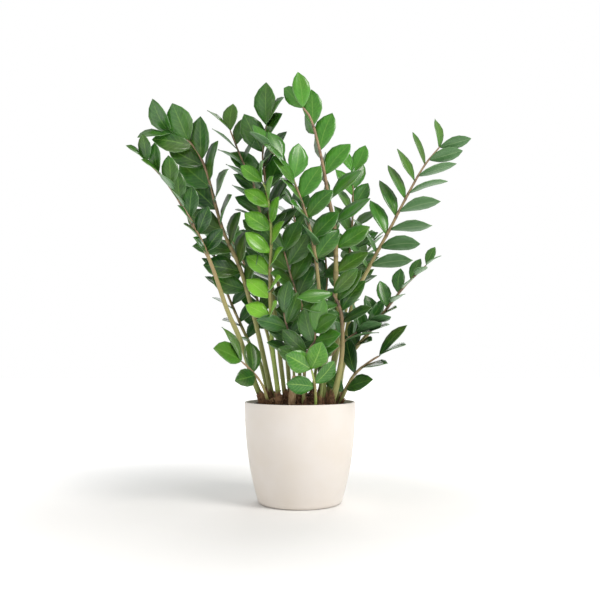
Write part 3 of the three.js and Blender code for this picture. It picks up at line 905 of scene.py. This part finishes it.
        rows = max(12, round(self.curve.length / self.ring_step))
        bm = patch(self.stem_columns, rows, place, "stalk")
        rings = bm.verts.layers.float.new("joint")
        layer = bm.loops.layers.uv["stalk"]
        for vert in bm.verts:
            share = vert.link_loops[0][layer].uv.y
            grown = clamp((share - self.leaves.start + 0.1) / 0.25)
            vert[rings] = joint(share, 3.0) * mix(0.1, 0.7, grown)
        bmesh.ops.remove_doubles(bm, verts=bm.verts, dist=1e-6)
        bmesh.ops.holes_fill(bm, edges=[edge for edge in bm.edges if edge.is_boundary], sides=0)
        bmesh.ops.recalc_face_normals(bm, faces=bm.faces)
        return finish_piece(
            bm, self.node + "_stem", dressed(self.age.stalk), self.age.slot.value, self.node
        )

    def build(self) -> None:
        """Build and dress the frond's two pieces."""
        leaflets = self.grown()
        LOG.info("%s: %d of %d leaflets", self.node, len(leaflets), 2 * self.leaves.pairs)
        self.build_stem(leaflets)
        self.build_leaves(leaflets)


# ---------------------------------------------------------------- soil, rhizomes, husks and the cut stalk


@dataclass
class Soil:
    """The potting mix: what fills the grower's pot, mounded at the crown, with loose bits on top."""

    radius: float = 83.6
    bottom_radius: float = 60.0
    bottom: float = 10.8
    band: float = 173.0  # height where the grower's pot widens
    edge: float = 179.0
    mound: float = 23.0
    segments: int = 120
    rings: int = 34
    crumbs: int = 1500
    chips: int = 320
    fibres: int = 420
    scraps: int = 110
    finish: PottingMix = field(default_factory=lambda: PottingMix("peat_and_bark_mix"))
    chip_finish: DryFibre = field(
        default_factory=lambda: DryFibre("composted_bark_chips", "8a6548", "3a261b")
    )

    def surface(self, x: float, y: float) -> float:
        """Return the height of the soil at a place, in millimetres."""
        out = math.hypot(x, y) / self.radius
        where = Vector((x, y, 0.0))
        rough = noise.fractal(where * 0.11, 1.0, 2.0, 4) * 2.0 + noise.noise(where * 0.03) * 2.2
        return self.edge + self.mound * (1 - out**2) + rough * (1 - out**8) - 0.6

    def build_body(self) -> None:
        """Build and dress the body of the soil."""
        profile = [(0.0, self.bottom), (self.bottom_radius, self.bottom), (self.radius - 0.4, self.band)]
        profile += [(self.radius, self.edge - 1.5)]
        for ring in range(self.rings + 1):
            out = 1 - ring / self.rings
            profile.append((self.radius * out, self.edge + self.mound * (1 - out**2)))
        bm = spun(profile, self.segments)
        for vert in bm.verts:
            if vert.co.z > (self.edge - 0.1) * MM:
                vert.co.z = self.surface(vert.co.x / MM, vert.co.y / MM) * MM
        finish_piece(bm, "soil_body", dressed(self.finish), Slot.SOIL.value, "soil")

    def scatter(self, chance: random.Random) -> tuple[Vector, float]:
        """Return a random place on the soil, in millimetres, and how far out it is as a share."""
        out = math.sqrt(chance.random()) * 0.97
        turn = chance.uniform(0, 2 * math.pi)
        x, y = out * self.radius * math.cos(turn), out * self.radius * math.sin(turn)
        return Vector((x, y, self.surface(x, y))), out

    def build_bits(self) -> None:
        """Build and dress the crumbs, bark chips and fibres that lie on the soil."""
        chance = random.Random("soil")
        noise.seed_set(1)  # noise_vector's offsets come from the clock unless a seed is set
        crumbs = bmesh.new()
        for _ in range(self.crumbs):
            place, _ = self.scatter(chance)
            size = chance.triangular(0.8, 3.2, 1.2)
            stretch = Matrix.Diagonal((1.0, chance.uniform(0.6, 1.0), chance.uniform(0.5, 0.9), 1.0))
            turn = Matrix.Rotation(chance.uniform(*ANY_WAY), 4, "Z")
            where = Matrix.Translation((place + Vector((0, 0, 0.2 * size))) * MM) @ turn @ stretch
            bmesh.ops.create_icosphere(crumbs, subdivisions=1, radius=size * MM, matrix=where)
        finish_piece(crumbs, "soil_crumbs", dressed(self.finish), Slot.SOIL.value)
        chips = bmesh.new()
        for _ in range(self.chips):
            place, _ = self.scatter(chance)
            size = Vector((chance.uniform(3.0, 12.0), chance.uniform(1.5, 5.0), chance.uniform(0.8, 2.4)))
            turn = Matrix.Rotation(chance.uniform(*ANY_WAY), 4, "Z") @ Matrix.Rotation(
                chance.uniform(-0.9, 0.9), 4, "Y"
            )
            where = Matrix.Translation((place + Vector((0, 0, 0.8))) * MM) @ turn
            bmesh.ops.create_cube(chips, size=MM, matrix=where @ Matrix.Diagonal((*size, 1.0)))
        for _ in range(self.fibres):
            place, _ = self.scatter(chance)
            length = chance.uniform(6.0, 22.0)
            turn = Matrix.Rotation(chance.uniform(*ANY_WAY), 4, "Z") @ Matrix.Rotation(
                math.pi / 2 + chance.uniform(-0.6, 0.6), 4, "X"
            )
            bmesh.ops.create_cone(
                chips,
                cap_ends=True,
                segments=4,
                radius1=0.35 * MM,
                radius2=0.15 * MM,
                depth=length * MM,
                matrix=Matrix.Translation((place + Vector((0, 0, 1.0))) * MM) @ turn,
            )
        for _ in range(self.scraps):
            place, out = self.scatter(chance)
            length = chance.uniform(14.0, 34.0) * (1 - 0.6 * out)
            size = Vector((chance.uniform(1.5, 4.5), 0.9, length))
            turn = Matrix.Rotation(chance.uniform(*ANY_WAY), 4, "Z") @ Matrix.Rotation(
                chance.uniform(0.15, 0.8), 4, "X"
            )
            where = Matrix.Translation((place + Vector((0, 0, 0.3 * length))) * MM) @ turn
            bmesh.ops.create_cube(chips, size=MM, matrix=where @ Matrix.Diagonal((*size, 1.0)))
        edges = [edge for edge in chips.edges if edge.calc_length() > 2.6 * MM]
        bmesh.ops.subdivide_edges(chips, edges=edges, cuts=1)
        for vert in chips.verts:
            vert.co += noise.noise_vector(vert.co * 400.0) * 0.7 * MM
        finish_piece(chips, "soil_bark_and_fibres", dressed(self.chip_finish), Slot.SOIL.value)

    def build(self) -> None:
        """Build the soil."""
        self.build_body()
        self.build_bits()


@dataclass
class Rhizome:
    """A tuber that breaks the soil, lumpy and ringed with scars. Millimetres and degrees."""

    name: str
    centre: tuple[float, float, float]
    half: tuple[float, float, float]
    turn: float
    finish: DryFibre = field(
        default_factory=lambda: DryFibre("corky_rhizome_skin", "b08f68", "6a4d38", 2.0)
    )

    def build(self) -> None:
        """Build and dress the tuber."""
        bm = bmesh.new()
        bmesh.ops.create_icosphere(bm, subdivisions=5, radius=1.0)
        for vert in bm.verts:
            x, y, z = vert.co
            bulge = 1 + 0.09 * math.sin(5 * x + 2 * z) + 0.07 * math.cos(6 * y)
            scars = 0.025 * math.sin(22 * x + 2 * noise.noise(vert.co * 2))
            rough = 0.05 * noise.fractal(vert.co * 3, 1.0, 2.0, 4)
            grown = bulge + scars + rough - 0.03
            vert.co = Vector((x * self.half[0], y * self.half[1], z * self.half[2])) * grown * MM
        bmesh.ops.rotate(
            bm, verts=bm.verts, cent=(0, 0, 0), matrix=Matrix.Rotation(math.radians(self.turn), 3, "Z")
        )
        bmesh.ops.translate(bm, verts=bm.verts, vec=Vector(self.centre) * MM)
        finish_piece(bm, self.name + "_tuber", dressed(self.finish), Slot.RHIZOME.value, self.name)


@dataclass
class Husk:
    """A dead sheath wrapped round a stem's foot, torn along its top. Millimetres and degrees."""

    name: str
    frond: str
    facing: float
    height: float = 44.0
    wrap: float = 3.6  # radians round the stem, at the foot
    buried: float = 5.0
    replaced: bool = True
    finish: DryFibre = field(default_factory=lambda: DryFibre("papery_dead_sheath", "a07c5a", "4a3427"))

    def build(self, fronds: dict[str, Frond]) -> None:
        """Build and dress the husk round its frond's foot."""
        frond = fronds[self.frond]
        chance = random.Random(self.name)
        phase = chance.uniform(0, 9)

        def place(u: float, v: float) -> Vector:
            """Return a point of the husk: u runs round the stem and v up it."""
            torn = 1 - 0.16 * abs(math.sin(9 * u + phase)) - 0.08 * abs(math.sin(23 * u + 2 * phase))
            height = v * self.height * torn
            share = (StemCurve.ROOTED - self.buried + height) / frond.curve.length
            axes = frond.curve.axes(share, STEM_FACING)
            narrowing = 1 - 0.8 * (height / self.height) ** 1.6
            ripple = 0.5 * math.sin(14 * u + phase) * v + 0.9 * noise.noise(Vector((4 * u, 3 * v, phase)))
            radius = frond.stem[0] + 1.1 + 0.05 * height + ripple + 3.0 * max(0.0, v - 0.7) ** 1.5
            angle = math.radians(self.facing) + (u - 0.5) * self.wrap * narrowing
            return axes.around(angle, radius) * MM

        bm = patch(26, 18, place, "husk")
        bmesh.ops.recalc_face_normals(bm, faces=bm.faces)
        bmesh.ops.solidify(bm, geom=bm.faces[:], thickness=0.5 * MM)
        bmesh.ops.recalc_face_normals(bm, faces=bm.faces)
        names = (self.name,) if self.replaced else ()
        finish_piece(bm, self.name + "_husk", dressed(self.finish), Slot.DRY.value, *names)


@dataclass
class CutStalk:
    """The stub of a stalk that was cut off and has dried and shrunk. Millimetres."""

    route: list[tuple[float, float, float]]
    base_radius: float = 7.0
    top_radius: float = 5.5
    finish: DryFibre = field(default_factory=lambda: DryFibre("dried_cut_stalk", "cbb08a", "8c6c4c", 1.6))

    def build(self) -> None:
        """Build and dress the stub."""
        curve = StemCurve(self.route)

        def place(u: float, v: float) -> Vector:
            """Return a point of the skin, which runs over the cut end to its middle."""
            share = min(v / 0.88, 1.0)
            inward = clamp((v - 0.88) / 0.12)
            axes = curve.axes(share, STEM_FACING)
            angle = 2 * math.pi * u
            radius = mix(self.top_radius, self.base_radius, (1 - share) ** 0.85)
            radius *= 1 + 0.05 * math.sin(5 * angle + 3 * share) + 0.03 * math.sin(11 * angle)
            sunk = axes.tangent * (-2.5 * math.sin(inward * math.pi / 2))
            return (axes.around(angle, radius * (1 - inward)) + sunk) * MM

        bm = patch(28, 44, place, "stub")
        bmesh.ops.remove_doubles(bm, verts=bm.verts, dist=1e-5)
        bmesh.ops.holes_fill(bm, edges=[edge for edge in bm.edges if edge.is_boundary], sides=0)
        bmesh.ops.recalc_face_normals(bm, faces=bm.faces)
        finish_piece(bm, "cut_stalk_stub", dressed(self.finish), Slot.DRY.value, "cut_stalk")


# ---------------------------------------------------------------- the plant


FRONDS = [
    Frond(
        "far_left", Age.MATURE, [
            (-66, -18, 0), (-88, -28, 56), (-111, -46, 127), (-134, -62, 182), (-163, -84, 268),
            (-197, -104, 341), (-238, -122, 406), (-271, -136, 440),
        ],
        stem=(5.9, 1.4), face=(0.45, -0.8, 0.4), fold=52, roll=(10, 0), opening=(50, 26),
        size=(0.8, 0.75), leaves=LeafRows(0.62, 7, 64, 34), tones=(0.15, 0.3),
    ),
    Frond(
        "left_broad", Age.MATURE, [
            (-50, 8, 0), (-73, 2, 110), (-91, -8, 184), (-114, -20, 263), (-147, -32, 338),
            (-178, -48, 449), (-209, -58, 497), (-242, -62, 509),
        ],
        stem=(5.6, 1.5), face=(-0.42, -0.87, 0.08), fold=30, roll=(20, 5), opening=(50, 34),
        size=(0.75, 0.75), leaves=LeafRows(0.42, 9, 92, 60), tones=(0.1, 0.3),
    ),
    Frond(
        "top", Age.MATURE, [
            (50, 2, 0), (72, -20, 147), (68, -28, 222), (66, -38, 324), (54, -44, 390), (39, -54, 469),
            (21, -66, 533), (4, -74, 556),
        ],
        stem=(6.7, 1.8), face=(-0.65, -0.7, 0.25), fold=-40, roll=(50, 8), opening=(66, 26),
        size=(0.8, 0.7), leaves=LeafRows(0.45, 8, 92, 49), tones=(0.4, 0.75),
    ),
    Frond(
        "right_open", Age.MATURE, [
            (72, 8, 0), (86, 6, 118), (104, 10, 205), (136, 16, 271), (174, 22, 340), (206, 28, 401),
            (244, 36, 468), (279, 42, 512),
        ],
        stem=(5.4, 1.4), face=(-0.1, -0.9, 0.3), fold=12, roll=(84, 74), opening=(58, 38),
        size=(0.9, 0.7), leaves=LeafRows(0.5, 8, 92, 38), lean=32, tones=(0.45, 0.5),
    ),
    Frond(
        "front_curved", Age.MATURE, [
            (56, -44, 0), (70, -55, 55), (77, -64, 109), (76, -74, 164), (69, -82, 191), (59, -90, 210),
        ],
        stem=(6.5, 2), face=(-0.3, -0.8, 0.5), fold=18, roll=(40, 30), opening=(60, 60), size=(0.9, 0.9),
        leaves=LeafRows(0.74, 4, 75, 34), tones=(0.25, 0.45),
    ),
    Frond(
        "bright", Age.YOUNG, [
            (-36, -50, 0), (-51, -54, 118), (-55, -58, 234), (-53, -64, 326), (-59, -72, 390),
            (-69, -80, 416),
        ],
        stem=(4.9, 1.6), face=(-0.55, -0.8, 0.1), fold=36, roll=(25, 10), opening=(62, 36),
        size=(0.8, 0.75), leaves=LeafRows(0.42, 7, 68, 40), tones=(0.95, 0.3),
    ),
    Frond(
        "centre_right", Age.MATURE, [
            (46, -34, 0), (41, -40, 119), (33, -48, 246), (19, -56, 329), (-7, -66, 408),
            (-29, -74, 449), (-59, -80, 477),
        ],
        stem=(4.9, 1.4), face=(0.5, -0.7, 0.5), fold=34, roll=(20, 0), opening=(56, 30),
        size=(0.85, 0.7), leaves=LeafRows(0.55, 7, 81, 46), tones=(0.45, 0.6),
    ),
    Frond(
        "left_narrow", Age.MATURE, [
            (-26, -14, 0), (-36, -12, 80), (-44, -6, 146), (-62, 6, 291), (-90, 18, 426),
            (-112, 24, 475), (-139, 30, 543),
        ],
        stem=(4.7, 1.4), face=(0.2, -0.8, 0.5), fold=25, roll=(70, 30), opening=(60, 34),
        size=(0.85, 0.8), leaves=LeafRows(0.52, 8, 75, 39), tones=(0.1, 0.2),
    ),
    Frond(
        "left_upright", Age.MATURE, [
            (-18, 40, 0), (-32, 46, 167), (-50, 48, 282), (-71, 36, 460), (-73, 24, 498), (-64, 4, 546),
        ],
        stem=(4.7, 1.4), face=(-0.35, -0.85, 0.3), fold=28, roll=(50, 0), opening=(58, 22),
        size=(0.8, 0.95), leaves=LeafRows(0.45, 8, 86, 49), tones=(0.1, 0.3),
    ),
    Frond(
        "right_upright", Age.MATURE, [
            (50, 44, 0), (92, 62, 188), (101, 74, 310), (106, 80, 361), (108, 84, 424), (108, 86, 472),
        ],
        stem=(4.3, 1.4), face=(0.2, -0.85, 0.4), fold=20, roll=(50, 5), opening=(56, 26),
        size=(0.85, 0.85), leaves=LeafRows(0.5, 7, 73, 39), tones=(0.3, 0.7),
    ),
    Frond(
        "right_arching", Age.MATURE, [
            (68, -8, 0), (83, -20, 82), (105, -28, 112), (132, -38, 144), (157, -50, 179),
            (192, -66, 224), (230, -82, 262),
        ],
        stem=(4.7, 1.2), face=(-0.5, -0.6, 0.6), fold=30, roll=(35, 20), opening=(56, 30),
        size=(0.9, 0.6), leaves=LeafRows(0.4, 7, 62, 30), tones=(0.2, 0.35),
    ),
    Frond(
        "right_low", Age.MATURE, [
            (72, -22, 0), (91, -34, 46), (107, -46, 69), (132, -60, 89), (145, -68, 97),
        ],
        stem=(3.8, 1.6), face=(-0.2, -0.6, 0.8), fold=20, roll=(15, 0), opening=(50, 22),
        size=(0.9, 0.9), leaves=LeafRows(0.3, 3, 84, 35), tones=(0.15, 0.1),
    ),
    Frond(
        "short_right", Age.OLD, [
            (36, -60, 0), (46, -54, 87), (59, -50, 100), (83, -44, 124), (107, -44, 141),
            (124, -48, 154),
        ],
        stem=(3.1, 1.2), face=(-0.3, -0.7, 0.65), fold=25, roll=(60, 50), opening=(60, 25),
        size=(0.9, 0.8), leaves=LeafRows(0.6, 4, 73, 29), tones=(0.4, 0.4),
    ),
    Frond(
        "left_low", Age.MATURE, [
            (-56, -46, 0), (-68, -60, 42), (-86, -74, 68), (-106, -88, 88),
        ],
        stem=(3.4, 1.4), face=(0.1, -0.7, 0.7), fold=15, roll=(10, 0), opening=(60, 25), size=(0.85, 1),
        leaves=LeafRows(0.68, 2, 68, 44), tones=(0.2, 0.6),
    ),
    Frond(
        "left_inner", Age.OLD, [
            (-58, 34, 0), (-78, 40, 83), (-100, 44, 122), (-135, 52, 197), (-155, 58, 248),
            (-182, 62, 328),
        ],
        stem=(4.3, 1.3), face=(0.4, -0.7, 0.5), fold=22, roll=(40, 15), opening=(58, 30),
        size=(0.8, 0.8), leaves=LeafRows(0.4, 7, 62, 34), tones=(0.3, 0.4),
    ),
    Frond(
        "centre_low", Age.MATURE, [
            (6, -60, 0), (10, -72, 90), (20, -80, 113), (27, -86, 124), (27, -92, 140),
        ],
        stem=(3.8, 1.4), face=(-0.1, -0.85, 0.5), fold=12, roll=(10, 10), opening=(62, 30),
        size=(0.8, 0.9), leaves=LeafRows(0.62, 4, 70, 38), tones=(0.15, 0.6),
    ),
    Frond(
        "centre_inner", Age.OLD, [
            (8, 0, 0), (8, -10, 128), (4, -18, 188), (-8, -26, 216), (-21, -36, 259), (-30, -44, 292),
        ],
        stem=(3.6, 1.4), face=(0.3, -0.9, 0.3), fold=12, roll=(20, 10), opening=(58, 34),
        size=(0.8, 0.9), leaves=LeafRows(0.5, 6, 73, 43), tones=(0.3, 0.6),
    ),
    Frond(
        "centre_small", Age.OLD, [
            (-8, -28, 0), (-13, -40, 90), (-18, -48, 128), (-24, -56, 150), (-30, -64, 176),
        ],
        stem=(3.4, 1.4), face=(0.1, -0.85, 0.5), fold=12, roll=(30, 10), opening=(60, 34),
        size=(0.8, 0.9), leaves=LeafRows(0.6, 4, 68, 34), tones=(0.3, 0.5),
    ),
    Frond(
        "front_young", Age.YOUNG, [
            (28, -70, 0), (28, -78, 30), (25, -88, 54), (20, -96, 74),
        ],
        stem=(3.2, 1.8), face=(0, -0.85, 0.5), fold=8, roll=(0, 0), opening=(70, 34), size=(0.9, 1),
        leaves=LeafRows(0.62, 2, 58, 40), tones=(0.0, 0.25),
    ),
    Frond(
        "inner_dark", Age.OLD, [
            (20, 30, 0), (43, 36, 147), (53, 40, 240), (51, 42, 282), (47, 42, 325),
        ],
        stem=(3.8, 1.4), face=(0.1, -0.9, 0.4), fold=15, roll=(30, 10), opening=(56, 30),
        size=(0.8, 0.8), leaves=LeafRows(0.5, 6, 75, 41), tones=(0.2, 0.3),
    ),
    Frond(
        "back_centre", Age.OLD, [
            (0, 62, 0), (-2, 84, 169), (-6, 108, 333), (-10, 114, 367), (-17, 120, 410),
        ],
        stem=(4.1, 1.4), face=(0.1, -0.7, 0.6), fold=15, roll=(50, 20), opening=(60, 30),
        size=(0.8, 0.8), leaves=LeafRows(0.45, 8, 75, 41), tones=(0.3, 0.4),
    ),
    Frond(
        "back_left", Age.MATURE, [
            (-42, 58, 0), (-56, 74, 100), (-84, 96, 200), (-118, 128, 290), (-152, 164, 350),
        ],
        stem=(4.7, 1.4), face=(0.3, -0.4, 0.8), fold=20, roll=(20, 10), opening=(58, 30),
        size=(0.8, 0.7), leaves=LeafRows(0.42, 8, 77, 44), tones=(0.3, 0.45),
    ),
    Frond(
        "back_right", Age.MATURE, [
            (34, 66, 0), (56, 84, 100), (84, 108, 190), (118, 140, 270), (150, 172, 330),
        ],
        stem=(4.7, 1.4), face=(-0.3, -0.4, 0.8), fold=20, roll=(20, 10), opening=(58, 30),
        size=(0.8, 0.7), leaves=LeafRows(0.42, 8, 77, 44), tones=(0.3, 0.45),
    ),
]

RHIZOMES = [
    Rhizome("rhizome_front", (-48.0, -30.0, 189.0), (13.0, 9.0, 8.0), 20.0),
    Rhizome("rhizome_right", (43.0, -59.0, 179.0), (10.0, 8.0, 8.0), -30.0),
    Rhizome("rhizome_back", (20.0, 52.0, 189.0), (13.0, 9.0, 8.0), 60.0),
]

HUSKS = [
    Husk("sheath_far_left", "far_left", 100.0),
    Husk("sheath_bright", "bright", 120.0),
    Husk("sheath_left_narrow", "left_narrow", 80.0),
    Husk("sheath_front_curved", "front_curved", 150.0),
    Husk("sheath_right_open", "right_open", 60.0),
]

BRACTS = [
    ("left_low", 110, 30),
    ("centre_right", 60, 42),
    ("centre_small", 100, 38),
    ("centre_low", 70, 30),
    ("short_right", 120, 34),
    ("right_low", 60, 30),
    ("centre_inner", 80, 52),
    ("left_broad", 120, 46),
    ("left_upright", 60, 54),
    ("left_inner", 100, 48),
    ("top", 70, 50),
    ("right_upright", 110, 46),
    ("right_arching", 50, 38),
    ("inner_dark", 90, 56),
    ("back_centre", -80, 42),
    ("back_left", -110, 38),
    ("back_right", -60, 40),
]
HUSKS += [
    Husk(f"bract_{frond}", frond, facing, height=height, wrap=2.2, replaced=False)
    for frond, facing, height in BRACTS
]


# ---------------------------------------------------------------- studio


@dataclass
class Studio:
    """A pale floor with a painted glow that brightens it into the backdrop, soft lights and the camera.
    Metres and watts.
    """

    floor_size: float = 12.0
    camera_place: tuple[float, float, float] = (0.0, -1.49, 0.288)
    camera_pitch: float = 3.6  # degrees above level
    lens: float = 46.8
    surround: float = 0.56

    def add_floor(self) -> None:
        """Lay the floor: matt painted board, nearly white, with a faint mottle, and a painted glow
        (emission) that grows away from the middle so that the floor fades into the white backdrop.
        """
        bm = bmesh.new()
        bmesh.ops.create_grid(bm, x_segments=1, y_segments=1, size=self.floor_size / 2)
        mesh = bpy.data.meshes.new("studio_floor")
        bm.to_mesh(mesh)
        bm.free()
        finish = Finish("matt_white_board_painted_glow")
        material, add = finish.start(Roughness=0.9, Specular_IOR_Level=0.1, Emission_Color=linear("ffffff"))
        where = add("TexCoord", {}).outputs["Object"]
        mottle = add("TexNoise", {"Vector": where, "Scale": 3.0, "Detail": 2.0}).outputs["Fac"]
        stops = [(0.3, linear("f6f6f5")), (0.7, linear("fafaf9"))]
        # painted glow: the floor's emission grows from 0.15 m out to 0.8 at 1.2 m, so it glows into the
        # white backdrop and lights the plant a little from below
        away = add("VectorMath", {0: where}, operation="LENGTH").outputs["Value"]
        painted_glow_fade = {"Value": away, "From Min": 0.15, "From Max": 1.2, "To Max": 0.8}
        finish.end(
            material,
            Base_Color=add("ValToRGB", {"Fac": mottle}, stops=stops).outputs[0],
            Emission_Strength=add("MapRange", painted_glow_fade, interpolation_type="SMOOTHSTEP").outputs[0],
        )
        mesh.materials.append(material)
        floor = bpy.data.objects.new("studio_floor", mesh)
        bpy.context.scene.collection.objects.link(floor)

    def add_light(self, name: str, place: Vector, size: float, power: float, colour: str) -> None:
        """Add a square area light that looks at the plant's middle."""
        data = bpy.data.lights.new(name, "AREA")
        data.size = size
        data.energy = power
        data.color = linear(colour)[:3]
        light = bpy.data.objects.new(name, data)
        light.location = place
        light.rotation_euler = (Vector((0, 0, 0.4)) - place).to_track_quat("-Z", "Y").to_euler()
        bpy.context.scene.collection.objects.link(light)

    def build(self) -> None:
        """Set the studio up round the plant."""
        self.add_floor()
        self.add_light("key", Vector((1.4, -1.2, 1.9)), 0.9, 32.0, "fffaf5")
        self.add_light("fill", Vector((-2.0, -1.4, 0.7)), 1.6, 2.0, "ffdcb8")
        self.add_light("back", Vector((0.4, 2.0, 1.5)), 1.4, 14.0, "ffffff")
        world = bpy.data.worlds.new("bright_surround")
        world.use_nodes = True
        tree = world.node_tree
        tree.nodes.clear()
        glow = add_node(tree, "Background", {"Color": linear("ffffff"), "Strength": self.surround})
        backdrop = add_node(tree, "Background", {"Color": linear("ffffff"), "Strength": 1.0})
        path = add_node(tree, "LightPath", {})
        ways = {0: path.outputs["Is Camera Ray"], 1: glow.outputs[0], 2: backdrop.outputs[0]}
        seen = add_node(tree, "MixShader", ways)
        add_node(tree, "OutputWorld", {"Surface": seen.outputs[0]})
        scene = bpy.context.scene
        scene.world = world
        scene.view_settings.view_transform = "Standard"
        data = bpy.data.cameras.new("camera")
        data.lens = self.lens
        camera = bpy.data.objects.new("camera", data)
        camera.location = self.camera_place
        camera.rotation_euler = (math.radians(90 + self.camera_pitch), 0, 0)
        scene.collection.objects.link(camera)
        scene.camera = camera


def main() -> None:
    """Build the plant piece by piece, then the studio round it."""
    logging.basicConfig(level=logging.INFO, format="%(message)s")
    Planter().build()
    GrowerPot().build()
    Soil().build()
    for rhizome in RHIZOMES:
        rhizome.build()
    fronds = {frond.name: frond for frond in FRONDS}
    for frond in fronds.values():
        frond.build()
    for husk in HUSKS:
        husk.build(fronds)
    CutStalk([(-16, -62, 0), (-13, -67, 34), (-8, -72, 60)]).build()
    Studio().build()


if __name__ == "__main__":
    main()
